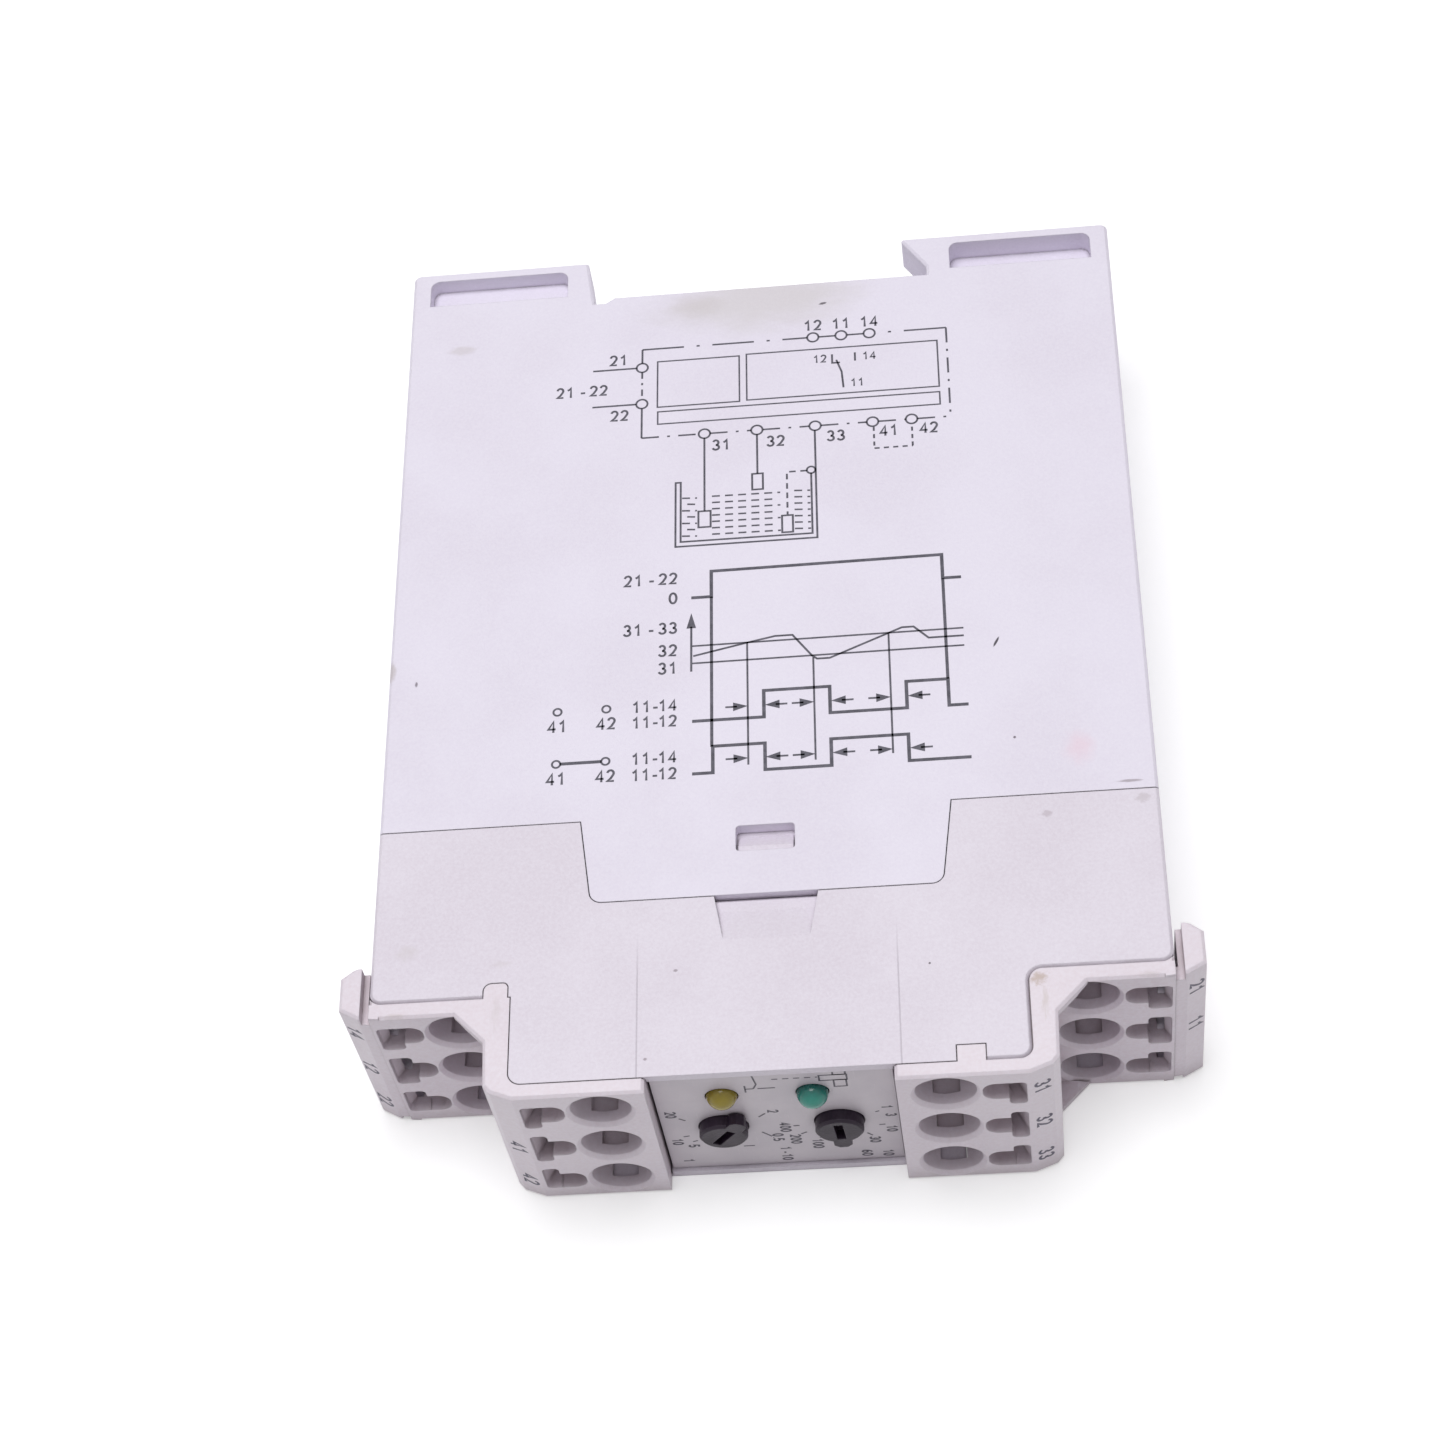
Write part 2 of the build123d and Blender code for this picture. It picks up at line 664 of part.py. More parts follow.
def relay_coil():
    x, y = relay_at
    foot_z = seat_z + 1.5 + slip_gap + 1.2 + slip_gap
    coil = rod_z(x - 5.7, y, 5.0, foot_z, foot_z + 0.8)
    coil += rod_z(x - 5.7, y, 4.5, foot_z + 0.8, foot_z + 7.2)
    coil += rod_z(x - 5.7, y, 5.0, foot_z + 7.2, foot_z + 7.8)
    return coil + rod_z(x - 5.7, y, 3.2, foot_z + 7.8, foot_z + 8.3)


def relay_armature():
    # Drawn closed, then lifted about the yoke's top edge to where its spring holds it
    x, y = relay_at
    pivot_z = seat_z + 1.5 + slip_gap + 9.8 + slip_gap
    plate = block(x - 12.6, x - 0.4, y - 4.2, y + 4.2, pivot_z, pivot_z + 1.0)
    plate += block(x - 4, x + 11.4, y - 1.2, y + 1.2, pivot_z + 1.0, pivot_z + 1.3)
    plate += rod_z(x + 10, y, 1.0, pivot_z + 0.6, pivot_z + 1.1)
    pivot = Pos(x - 12.6, y, pivot_z)
    return pivot * Rot(0, -armature_lift, 0) * pivot.inverse() * plate


def relay_contacts():
    x, y = relay_at
    foot_z = seat_z + 1.5 + slip_gap
    top = seat_z + relay_size[2] - relay_wall - 0.2
    post = block(x + 9, x + 11, y - 1.5, y + 1.5, foot_z, foot_z + 10.2)
    stop = block(x + 12.2, x + 13, y - 1.5, y + 1.5, foot_z, top)
    stop += block(x + 9, x + 12.5, y - 1.5, y + 1.5, top - 0.35, top)
    return post + stop


def transformer_core():
    x, y = transformer_at
    half_x = core_size[0] / 2
    half_y = core_size[1] / 2
    z0 = seat_z + (winding_height - core_size[2]) / 2
    z1 = z0 + core_size[2]
    core = block(x - half_x, x + half_x, y - half_y, y + half_y, z0, z1)
    for side in (-1, 1):
        near = x + side * core_leg / 2
        far = x + side * (half_x - core_yoke)
        core -= block(near, far, y - half_y + core_yoke, y + half_y - core_yoke, z0 - 1, z1 + 1)
    return core


def transformer_winding():
    x, y = transformer_at
    half_x = core_size[0] / 2 - core_yoke - pin_gap
    half_y = core_size[1] / 2 - core_yoke - pin_gap
    leg = core_leg / 2 + pin_gap
    z0 = seat_z
    z1 = z0 + winding_height
    low = z0 + (winding_height - core_size[2]) / 2 - pin_gap
    high = low + core_size[2] + 2 * pin_gap
    winding = block(x - half_x, x + half_x, y - half_y, y + half_y, z0, z1)
    winding -= block(x - leg, x + leg, y - half_y - 1, y + half_y + 1, low, high)
    return winding + pins(winding_pins(), z0 + 0.1)


def capacitor(place):
    x, y, radius, height = place
    can = rod_z(x, y, radius, seat_z, seat_z + height)
    can = fillet(can.edges().group_by(Axis.Z)[-1], 0.5)
    ring = rod_z(x, y, radius + 1, seat_z + 1.6, seat_z + 2.2) - rod_z(x, y, radius - 0.3, seat_z, seat_z + 3)
    return can - ring + pins(capacitor_pins(place), seat_z + 0.1)


def varistor():
    x, y = varistor_at
    z = seat_z + varistor_radius
    disc = Pos(x, y, z) * Rot(90, 0, 0) * Cylinder(varistor_radius, 3.4)
    disc = fillet(disc.edges(), 1.0)
    return disc + pins(varistor_pins(), z - 3.0)


def control_chip():
    x, y = chip_at
    chip = block(x - 9.7, x + 9.7, y - 3.2, y + 3.2, seat_z + 0.4, seat_z + 3.6)
    for pin_x, pin_y in chip_pins():
        edge = y + (3.0 if pin_y > y else -3.0)
        chip += block(pin_x - 0.5, pin_x + 0.5, edge, pin_y, seat_z + 1.7, seat_z + 2.0)
        chip += block(pin_x - 0.25, pin_x + 0.25, pin_y - 0.15, pin_y + 0.15, board_bottom - 0.5, seat_z + 2.0)
    return chip


def rail_latch():
    front_y = seat_depth + 0.15
    nose_y = seat_depth + 1.3
    points = [(latch_end_x, front_y), (rail_edge_x - 1.0, front_y), (rail_edge_x - 1.0, nose_y)]
    points += [(latch_nose_x, nose_y), (latch_nose_x, nose_y + 0.8), (latch_nose_x - 3.6, latch_back_y)]
    points += [(latch_end_x, latch_back_y)]
    latch = slab(outline(points), mid_z - latch_width / 2, mid_z + latch_width / 2)
    foot = latch_foot_width / 2
    foot_end = left_ear_root_x - 0.65
    latch += block(latch_end_x, foot_end, front_y, front_y + latch_foot_height, mid_z - foot, mid_z + foot)
    slot_x = latch_peg_x - latch_peg_size / 2 - 0.2
    slot_half = latch_slot_width / 2
    latch -= block(slot_x, slot_x + latch_slot_length, 0, 200, mid_z - slot_half, mid_z + slot_half)
    return latch - block(latch_end_x + 1.2, latch_end_x + 2.6, 0, 200, mid_z - 1.6, mid_z + 1.6)


def latch_spring():
    start = latch_peg_x + latch_peg_size / 2 + slip_gap
    end = latch_peg_x - latch_peg_size / 2 - 0.2 + latch_slot_length - slip_gap
    coil_length = end - start - spring_wire
    path = Helix(coil_length / spring_turns, coil_length, spring_radius)
    wire = Plane(origin=path @ 0, z_dir=path % 0) * Circle(spring_wire / 2)
    coil = sweep(wire, path=path, is_frenet=True)
    return Pos(start + spring_wire / 2, seat_depth + 2.3, mid_z) * Rot(0, 90, 0) * coil


def all_nodes():
    nodes = {"rear_case": rear_case(), "front_hood": front_hood(), "face_plate": face_plate()}
    for side, side_name in side_names.items():
        nodes["terminal_block_" + side_name] = terminal_block(side)
        for row_name, (column_x, face_y, slot) in cell_columns.items():
            row = side_name + "_" + row_name
            nodes["contacts_" + row] = contact_row(side, column_x, face_y)
            for number, z in enumerate(cell_levels, 1):
                turn = 25 * number + 10 * column_x * side
                nodes[f"screw_{row}_{number}"] = terminal_screw(side * column_x, z, face_y, turn)
                nodes[f"clamp_{row}_{number}"] = clamp_cage(side * column_x, z, face_y)
    for name, x, turn, lamp_place, tip_y in zip(("left", "right"), knob_x, knob_turn, lamp_x, lamp_tip_y):
        nodes["knob_" + name] = knob(x, turn)
        nodes["trimmer_" + name] = trimmer(x)
        nodes["lamp_" + name] = lamp(lamp_place, tip_y)
    nodes["main_board"] = main_board()
    nodes["front_board"] = front_board()
    nodes["board_header"] = board_header()
    nodes["relay_base"] = relay_base()
    nodes["relay_cover"] = relay_cover()
    nodes["relay_yoke"] = relay_yoke()
    nodes["relay_coil"] = relay_coil()
    nodes["relay_armature"] = relay_armature()
    nodes["relay_contacts"] = relay_contacts()
    nodes["transformer_core"] = transformer_core()
    nodes["transformer_winding"] = transformer_winding()
    for number, place in enumerate(capacitor_places, 1):
        nodes[f"capacitor_{number}"] = capacitor(place)
    nodes["varistor"] = varistor()
    nodes["control_chip"] = control_chip()
    nodes["rail_latch"] = rail_latch()
    nodes["latch_spring"] = latch_spring()
    return nodes


def write(name, shape):
    export_step(Pos(0, -overall_depth / 2, 0) * shape, f"parts/{name}.step")


os.makedirs("parts", exist_ok=True)
for node_name, node_shape in all_nodes().items():
    write(node_name, node_shape)
    print(node_name, "written")
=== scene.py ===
import json
import math
import bpy
import numpy as np
from mathutils import Matrix, Vector


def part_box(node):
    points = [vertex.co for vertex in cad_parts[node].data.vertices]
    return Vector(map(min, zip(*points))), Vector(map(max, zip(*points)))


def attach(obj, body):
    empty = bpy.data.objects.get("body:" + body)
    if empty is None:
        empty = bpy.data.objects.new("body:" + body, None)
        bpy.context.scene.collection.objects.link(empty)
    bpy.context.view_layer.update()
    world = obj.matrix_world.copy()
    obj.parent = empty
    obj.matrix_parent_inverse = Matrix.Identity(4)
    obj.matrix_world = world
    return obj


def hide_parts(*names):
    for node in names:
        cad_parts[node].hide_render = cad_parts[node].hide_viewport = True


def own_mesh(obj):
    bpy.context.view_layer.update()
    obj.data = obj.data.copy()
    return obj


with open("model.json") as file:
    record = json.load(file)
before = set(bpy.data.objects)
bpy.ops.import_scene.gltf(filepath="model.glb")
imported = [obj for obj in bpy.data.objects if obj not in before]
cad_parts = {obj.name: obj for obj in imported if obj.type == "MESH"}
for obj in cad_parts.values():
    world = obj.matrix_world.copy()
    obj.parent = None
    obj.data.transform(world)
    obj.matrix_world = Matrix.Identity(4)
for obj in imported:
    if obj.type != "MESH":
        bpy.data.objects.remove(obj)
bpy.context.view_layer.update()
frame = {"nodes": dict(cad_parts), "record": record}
nodes = frame["nodes"]
print("frame loaded with", len(nodes), "nodes")

mm = 0.001
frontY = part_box("terminal_block_right")[0].y  # the foremost terminal faces, where places along Y start
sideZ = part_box("rear_case")[1].z  # the printed side face
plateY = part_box("face_plate")[0].y  # the front of the label plate
printLift = 0.012 * mm  # ink stands this far off its face
noiseSpan = (0.3, 0.7)  # where nearly all values of a noise lie


# Colours are given as they look on screen, 0 to 255, and turned into light values
def paint(red, green, blue):
    screen = np.array((red, green, blue)) / 255
    light = np.where(screen <= 0.04045, screen / 12.92, ((screen + 0.055) / 1.055) ** 2.4)
    return (*light.tolist(), 1.0)


# Camera

cameraLook = {
    "place": (24.518, -185.03, 290.92),  # mm
    "forward": (-0.0893824, 0.5421393, -0.8355213),
    "right": (0.9940073, -0.0044487, -0.1092235),
    "lens": 78.78,
}


def makeCamera(look):
    camera = bpy.data.cameras.new("camera")
    camera.lens = look["lens"]
    camera.sensor_width = 36
    camera.clip_start = 0.01
    camera.clip_end = 20
    holder = bpy.data.objects.new("camera", camera)
    bpy.context.scene.collection.objects.link(holder)
    forward = Vector(look["forward"]).normalized()
    right = Vector(look["right"])
    right = (right - forward * right.dot(forward)).normalized()
    turn = Matrix((right, right.cross(forward), -forward)).transposed()
    holder.matrix_world = Matrix.Translation(Vector(look["place"]) * mm) @ turn.to_4x4()
    bpy.context.scene.camera = holder


makeCamera(cameraLook)
bpy.context.scene.view_settings.view_transform = "Standard"
print("camera placed")


# Node helpers

# One node with its settings and its inputs, where an input may be a value or another node's output
def addNode(tree, kind, inputs=None, **settings):
    node = tree.nodes.new("ShaderNode" + kind)
    for key, value in settings.items():
        setattr(node, key, value)
    for key, value in (inputs or {}).items():
        if isinstance(value, bpy.types.NodeSocket):
            tree.links.new(value, node.inputs[key])
        else:
            node.inputs[key].default_value = value
    return node


def calc(tree, operation, first, second=0.0, clamp=False):
    return addNode(tree, "Math", {0: first, 1: second}, operation=operation, use_clamp=clamp).outputs[0]


def vectorCalc(tree, operation, first, second=(0, 0, 0), output=0):
    return addNode(tree, "VectorMath", {0: first, 1: second}, operation=operation).outputs[output]


def times(tree, first, second, clamp=False):
    return calc(tree, "MULTIPLY", first, second, clamp)


# A value carried from one span to another, with soft ends if asked
def remap(tree, value, low, high, toLow=0.0, toHigh=1.0, soft=False):
    kind = "SMOOTHSTEP" if soft else "LINEAR"
    spans = {"Value": value, "From Min": low, "From Max": high, "To Min": toLow, "To Max": toHigh}
    return addNode(tree, "MapRange", spans, interpolation_type=kind).outputs["Result"]


def mixColour(tree, share, first, second):
    node = addNode(tree, "Mix", {0: share, 6: first, 7: second}, data_type="RGBA")
    return node.outputs[2]


# A colour laid over another where the mask is, as strongly as the amount says
def layOver(tree, colour, mask, amount, over):
    return mixColour(tree, times(tree, mask, amount), colour, paint(*over))


def noise(tree, place, scale, detail=2.0, roughness=0.5):
    inputs = {"Vector": place, "Scale": scale, "Detail": detail, "Roughness": roughness}
    return addNode(tree, "TexNoise", inputs).outputs[0]


# A shared effect takes a place and the inputs, each with its usual value: a number, or three for a vector
def startGroup(name, inputs, outputs):
    group = bpy.data.node_groups.new(name, "ShaderNodeTree")
    for key, value in {"Vector": (0, 0, 0), **inputs}.items():
        kind = "NodeSocketVector" if isinstance(value, tuple) else "NodeSocketFloat"
        group.interface.new_socket(name=key, in_out="INPUT", socket_type=kind).default_value = value
    for key in outputs:
        kind = "NodeSocketVector" if key == "Normal" else "NodeSocketFloat"
        group.interface.new_socket(name=key, in_out="OUTPUT", socket_type=kind)
    return group, group.nodes.new("NodeGroupInput").outputs, group.nodes.new("NodeGroupOutput").inputs


def endGroup(group, results, **values):
    for key, value in values.items():
        group.links.new(value, results[key])
    return group


def useGroup(tree, group, inputs):
    return addNode(tree, "Group", inputs, node_tree=group).outputs


# Shared effects

# Moulded grain: fine noise for the bump, wide noise for slow changes of tone. Sizes are in millimetres
def makeGrain():
    inputs = {"Grain size": 0.3, "Mottle size": 14.0}
    group, given, results = startGroup("moulded grain", inputs, ("Height", "Mottle", "Fleck"))
    fineScale = calc(group, "DIVIDE", 1000.0, given["Grain size"])
    wideScale = calc(group, "DIVIDE", 1000.0, given["Mottle size"])
    fine = noise(group, given["Vector"], fineScale, 3.0, 0.6)
    wide = noise(group, given["Vector"], wideScale, 4.0, 0.55)
    return endGroup(
        group, results, Height=fine, Mottle=remap(group, wide, 0.33, 0.67, soft=True),
        Fleck=remap(group, fine, *noiseSpan),
    )


edgeShape = {"turned": (0.995, 0.86), "noiseScale": 900.0, "noiseSpan": (0.38, 0.62), "least": 0.25}
creaseShape = {
    "open": (0.95, 0.35), "noiseScale": 350.0, "noiseSpan": (0.3, 0.6), "least": 0.55, "resting": 0.02
}
patchShape = {"noiseScale": 1.6, "detail": 5.0, "roughness": 0.65, "reach": 2.0}
scratchShape = {"highest": 0.8, "shareReach": 0.35, "softness": 0.1}


# Edge: a rounded normal within the radius, and a mask where that turns away from the flat face
def makeEdge():
    group, given, results = startGroup("worn edge", {"Radius": 0.15}, ("Normal", "Mask"))
    radius = times(group, given["Radius"], mm)
    rounded = addNode(group, "Bevel", {"Radius": radius}, samples=4).outputs[0]
    flat = addNode(group, "NewGeometry").outputs["Normal"]
    both = vectorCalc(group, "DOT_PRODUCT", rounded, flat, "Value")
    turned = remap(group, both, *edgeShape["turned"])
    broken = noise(group, given["Vector"], edgeShape["noiseScale"], 3.0)
    patchy = remap(group, broken, *edgeShape["noiseSpan"], edgeShape["least"], 1.0)
    mask = times(group, turned, patchy, clamp=True)
    return endGroup(group, results, Normal=rounded, Mask=mask)


# Crease: a mask where other surfaces stand close and light is lost, for painted shade
def makeCrease():
    group, given, results = startGroup("painted crease shade", {"Reach": 0.5}, ("Mask",))
    reach = times(group, given["Reach"], mm)
    hidden = addNode(group, "AmbientOcclusion", {"Distance": reach}, samples=6).outputs["AO"]
    uneven = noise(group, given["Vector"], creaseShape["noiseScale"], 3.0)
    patchy = remap(group, uneven, *creaseShape["noiseSpan"], creaseShape["least"], 1.0)
    mask = times(group, remap(group, hidden, *creaseShape["open"]), patchy, clamp=True)
    height = addNode(group, "SeparateXYZ", {0: given["Vector"]}).outputs[2]
    # the face that lies on the floor is no crease
    lifted = calc(group, "GREATER_THAN", height, creaseShape["resting"] * mm)
    return endGroup(group, results, Mask=times(group, mask, lifted))


# Specks: a few cells of a scatter hold one small dark dot each. Spacing and size in millimetres
def makeSpecks():
    inputs = {"Spacing": 4.0, "Size": 0.12, "Share": 0.2}
    group, given, results = startGroup("stray specks", inputs, ("Mask",))
    scale = calc(group, "DIVIDE", 1000.0, given["Spacing"])
    cells = addNode(group, "TexVoronoi", {"Vector": given["Vector"], "Scale": scale})
    chance = addNode(group, "SeparateColor", {"Color": cells.outputs["Color"]})
    reach = calc(group, "DIVIDE", given["Size"], given["Spacing"])
    reach = times(group, reach, remap(group, chance.outputs[1], 0.0, 1.0, 0.4, 1.0))
    inside = calc(group, "LESS_THAN", cells.outputs["Distance"], reach)
    chosen = calc(group, "LESS_THAN", chance.outputs[0], given["Share"])
    return endGroup(group, results, Mask=times(group, inside, chosen))


# Patch: a soft-edged ellipse, as wide as Size in millimetres each way from Centre, broken up by noise
def makePatch():
    inputs = {"Centre": (0, 0, 0), "Size": (1, 1, 1), "Turn": 0.0, "Breaking": 0.5, "Softness": 0.5}
    group, given, results = startGroup("soft patch", inputs, ("Mask",))
    away = vectorCalc(group, "SUBTRACT", given["Vector"], given["Centre"])
    inputs = {"Vector": away, "Angle": given["Turn"]}
    turned = addNode(group, "VectorRotate", inputs, rotation_type="Z_AXIS").outputs[0]
    size = addNode(group, "VectorMath", {0: given["Size"], "Scale": mm}, operation="SCALE").outputs[0]
    scaled = vectorCalc(group, "DIVIDE", turned, size)
    length = vectorCalc(group, "LENGTH", scaled, output="Value")
    uneven = noise(group, scaled, patchShape["noiseScale"], patchShape["detail"], patchShape["roughness"])
    uneven = calc(group, "SUBTRACT", uneven, 0.5)
    shift = times(group, uneven, times(group, given["Breaking"], patchShape["reach"]))
    rim = calc(group, "ADD", length, shift)
    inner = calc(group, "SUBTRACT", 1.0, given["Softness"])
    return endGroup(group, results, Mask=remap(group, rim, 1.0, inner, soft=True))


# Scratches: long thin noise, stretched along one way by the Stretch factors
def makeScratches():
    inputs = {"Stretch": (1, 1, 1), "Size": 0.5, "Share": 0.5}
    group, given, results = startGroup("fine scratches", inputs, ("Mask", "Height"))
    spread = vectorCalc(group, "MULTIPLY", given["Vector"], given["Stretch"])
    scale = calc(group, "DIVIDE", 1000.0, given["Size"])
    lines = noise(group, spread, scale, 4.0, 0.7)
    drop = times(group, given["Share"], scratchShape["shareReach"])
    limit = calc(group, "SUBTRACT", scratchShape["highest"], drop)
    full = calc(group, "ADD", limit, scratchShape["softness"])
    return endGroup(group, results, Mask=remap(group, lines, limit, full), Height=lines)


grainGroup = makeGrain()
edgeGroup = makeEdge()
creaseGroup = makeCrease()
specksGroup = makeSpecks()
patchGroup = makePatch()
scratchGroup = makeScratches()
print("shared effects made")


# Materials

def startMaterial(name):
    material = bpy.data.materials.new(name)
    material.use_nodes = True
    tree = material.node_tree
    place = addNode(tree, "TexCoord").outputs["Object"]
    return material, tree, place


def grainOf(tree, place, look):
    inputs = {"Vector": place, "Grain size": look["grainSize"], "Mottle size": look["mottleSize"]}
    return useGroup(tree, grainGroup, inputs)


def mottled(tree, grain, look):
    return mixColour(tree, grain["Mottle"], paint(*look["colour"]), paint(*look["mottle"]))


shaderSockets = {
    "specular": "Specular IOR Level", "metal": "Metallic", "coat": "Coat Weight",
    "coatRoughness": "Coat Roughness", "subsurface": "Subsurface Weight", "glow": "Subsurface Radius",
    "glowReach": "Subsurface Scale",
}


# How every finish ends: its links, its bump as deep as the look says, and the look's plain shader values
def joinShader(material, look, colour, rough, height, edge=None):
    tree = material.node_tree
    shader = tree.nodes["Principled BSDF"]
    bump = addNode(tree, "Bump", {"Height": height, "Distance": look["depth"] * mm})
    if edge is not None:
        tree.links.new(edge["Normal"], bump.inputs["Normal"])
    tree.links.new(colour, shader.inputs["Base Color"])
    tree.links.new(rough, shader.inputs["Roughness"])
    tree.links.new(bump.outputs[0], shader.inputs["Normal"])
    for key, socket in shaderSockets.items():
        if key in look:
            shader.inputs[socket].default_value = look[key]
    return material


markDepth = 0.8  # how far a mark reaches down the walls next to the printed side, in millimetres


# A mark is a row: its (x, y) place in millimetres on the printed side, its half width and half height, its
# colour and strength, and where they differ from the usual, how broken and soft its rim is and its turn
def addMark(tree, place, colour, at, size, over, strength, breaking=0.5, softness=0.6, turn=0):
    inputs = {
        "Vector": place, "Centre": (at[0] * mm, frontY + at[1] * mm, sideZ), "Size": (*size, markDepth)
    }
    inputs |= {"Turn": math.radians(turn), "Breaking": breaking, "Softness": softness}
    return layOver(tree, colour, useGroup(tree, patchGroup, inputs)["Mask"], strength, over)


# What all the plastics share: the cells that a speck may lie in, how dark specks are, a moulding line's
# height as a share of the grain's depth, and how much smoother a rubbed edge is
plasticBase = {
    "speckSpacing": 5.0, "speckAmount": 0.6, "lineHeight": 1.5, "polish": 0.08, "coatRoughness": 0.12
}


# Moulded plastic: mottled colour, grain bump, rounded and rubbed edges, painted shade in the creases and deep
# recesses, specks and marks
def mouldedPlastic(name, look):
    look = plasticBase | look
    material, tree, place = startMaterial(name)
    grain = grainOf(tree, place, look)
    edge = useGroup(tree, edgeGroup, {"Vector": place, "Radius": look["edgeRadius"]})
    colour = mottled(tree, grain, look)
    colour = layOver(tree, colour, grain["Fleck"], look["fleckAmount"], look["fleck"])
    colour = layOver(tree, colour, edge["Mask"], look["edgeAmount"], look["edge"])
    # painted shade: the colour darkens where other surfaces stand close, at seams and between parts
    if look.get("creaseShadeAmount"):
        crease = useGroup(tree, creaseGroup, {"Vector": place, "Reach": look["creaseShadeReach"]})
        colour = layOver(tree, colour, crease["Mask"], look["creaseShadeAmount"], look["shadeAndDirt"])
    # painted shade deep in the wire holes and slots, reaching further than the crease shade
    if look.get("deepShadeAmount"):
        deepShade = useGroup(tree, creaseGroup, {"Vector": place, "Reach": look["deepShadeReach"]})
        colour = layOver(tree, colour, deepShade["Mask"], look["deepShadeAmount"], look["deepShade"])
    if look.get("speckShare"):
        inputs = {
            "Vector": place, "Spacing": look["speckSpacing"], "Size": look["speckSize"],
            "Share": look["speckShare"],
        }
        specks = useGroup(tree, specksGroup, inputs)["Mask"]
        colour = layOver(tree, colour, specks, look["speckAmount"], look["shadeAndDirt"])
    for mark in look.get("marks", ()):
        colour = addMark(tree, place, colour, *mark)
    height = grain["Height"]
    if look.get("mouldLine"):
        line = mouldLineMask(tree, place, look["mouldLine"])
        colour = layOver(tree, colour, line, look["mouldLine"]["strength"], look["shadeAndDirt"])
        height = calc(tree, "ADD", height, times(tree, line, look["lineHeight"]))
    rough = remap(tree, grain["Mottle"], 0.0, 1.0, *look["roughness"])
    rough = calc(tree, "SUBTRACT", rough, times(tree, edge["Mask"], look["polish"]))
    return joinShader(material, look, colour, rough, height, edge)


# Where a moulding line runs: two lines at x on both sides of the middle, near the front
def mouldLineMask(tree, place, look):
    parts = addNode(tree, "SeparateXYZ", {0: place}).outputs
    offMiddle = calc(tree, "ABSOLUTE", parts[0])
    offLine = calc(tree, "ABSOLUTE", calc(tree, "SUBTRACT", offMiddle, look["x"] * mm))
    near = remap(tree, offLine, 0.0, look["width"] * mm, 1.0, 0.0)
    ahead = remap(tree, parts[1], frontY + look["endY"] * mm, frontY + look["fadeY"] * mm, 1.0, 0.0)
    return times(tree, near, ahead, clamp=True)


caseLook = {
    "colour": (231, 225, 240), "mottle": (226, 219, 234), "fleck": (241, 237, 248), "fleckAmount": 0.35,
    "grainSize": 0.32, "depth": 0.035, "mottleSize": 16, "roughness": (0.46, 0.55), "specular": 0.4,
    "edgeRadius": 0.16, "edge": (240, 237, 244), "edgeAmount": 0.5,
    # the dark colour on the next line, with its amount and reach, is painted shade in the creases; the same
    # colour marks specks and the moulding line
    "shadeAndDirt": (120, 108, 118), "creaseShadeAmount": 0.55, "creaseShadeReach": 0.45, "speckSize": 0.16, "speckShare": 0.035,
    "marks": [
        ((0.5, 96.4), (15, 5.4), (203, 198, 194), 0.48, 0.5, 0.75),
        ((-7.0, 96.5), (4.5, 2.2), (196, 188, 186), 0.3, 0.5, 0.8),
        ((23.96, 48.87), (0.16, 0.78), (52, 46, 56), 0.95, 0.3, 0.4, 27),
        ((7.2, 95.45), (0.55, 0.2), (70, 62, 70), 0.85, 0.5, 0.5, -10),
        ((25.2, 37.2), (0.2, 0.2), (96, 84, 96), 0.9),
        ((-36.1, 48.2), (0.2, 0.42), (110, 100, 112), 0.8),
        ((-38.9, 49.9), (0.8, 1.6), (176, 164, 160), 0.5),
        ((31.6, 35.6), (2.2, 2.6), (236, 206, 220), 0.5, 0.5, 0.9),
        ((36.3, 31.3), (1.6, 0.22), (150, 138, 146), 0.7),
        ((-33.0, 92.5), (2.0, 0.8), (206, 198, 202), 0.5),
    ],
}
hoodLook = caseLook | {
    "colour": (225, 217, 229), "mottle": (220, 211, 223),
    "mouldLine": {"x": 12.65, "width": 0.09, "endY": 12, "fadeY": 18, "strength": 0.15},
    "marks": [
        ((15.7, 12.15), (0.16, 0.16), (84, 74, 84), 0.9),
        ((-8.9, 12.9), (0.3, 0.2), (150, 138, 148), 0.8),
        ((27.9, 28.1), (0.7, 0.5), (188, 176, 186), 0.6),
        ((-11.8, 3.5), (0.25, 0.2), (140, 126, 136), 0.7),
        ((-35.5, 16.5), (1.6, 1.2), (210, 202, 206), 0.45, 0.9, 0.8),
        ((37.4, 29.3), (1.0, 0.7), (192, 182, 188), 0.5, 0.9),
        ((-26.0, 14.7), (1.4, 0.5), (208, 199, 203), 0.35, 0.9, 0.8),
    ],
}
blockLook = caseLook | {
    "colour": (228, 217, 226), "mottle": (222, 210, 220), "grainSize": 0.4, "depth": 0.02,
    "roughness": (0.38, 0.47),
    # the dark colour on this next line is painted shade in the creases, and also marks specks
    "edge": (240, 235, 242), "edgeAmount": 0.7, "creaseShadeAmount": 0.5, "creaseShadeReach": 0.35, "shadeAndDirt": (112, 94, 98),
    # painted shade deep in the wire holes and slots
    "deepShade": (150, 132, 134), "deepShadeAmount": 0.5, "deepShadeReach": 3.6, "speckShare": 0.1,
    "marks": [
        ((26.0, 9.9), (1.2, 0.9), (186, 166, 152), 0.7, 1.2, 0.8),
        ((26.5, 7.4), (0.5, 2.2), (200, 188, 182), 0.45, 1.2, 0.9),
        ((-26.4, 9.4), (0.7, 2.4), (206, 196, 198), 0.35, 1.1, 0.9),
        ((-36.5, 9.6), (1.6, 0.4), (192, 180, 178), 0.4, 1.1, 0.9),
        ((36.5, 9.7), (1.4, 0.4), (190, 178, 176), 0.35, 1.1, 0.9),
    ],
}
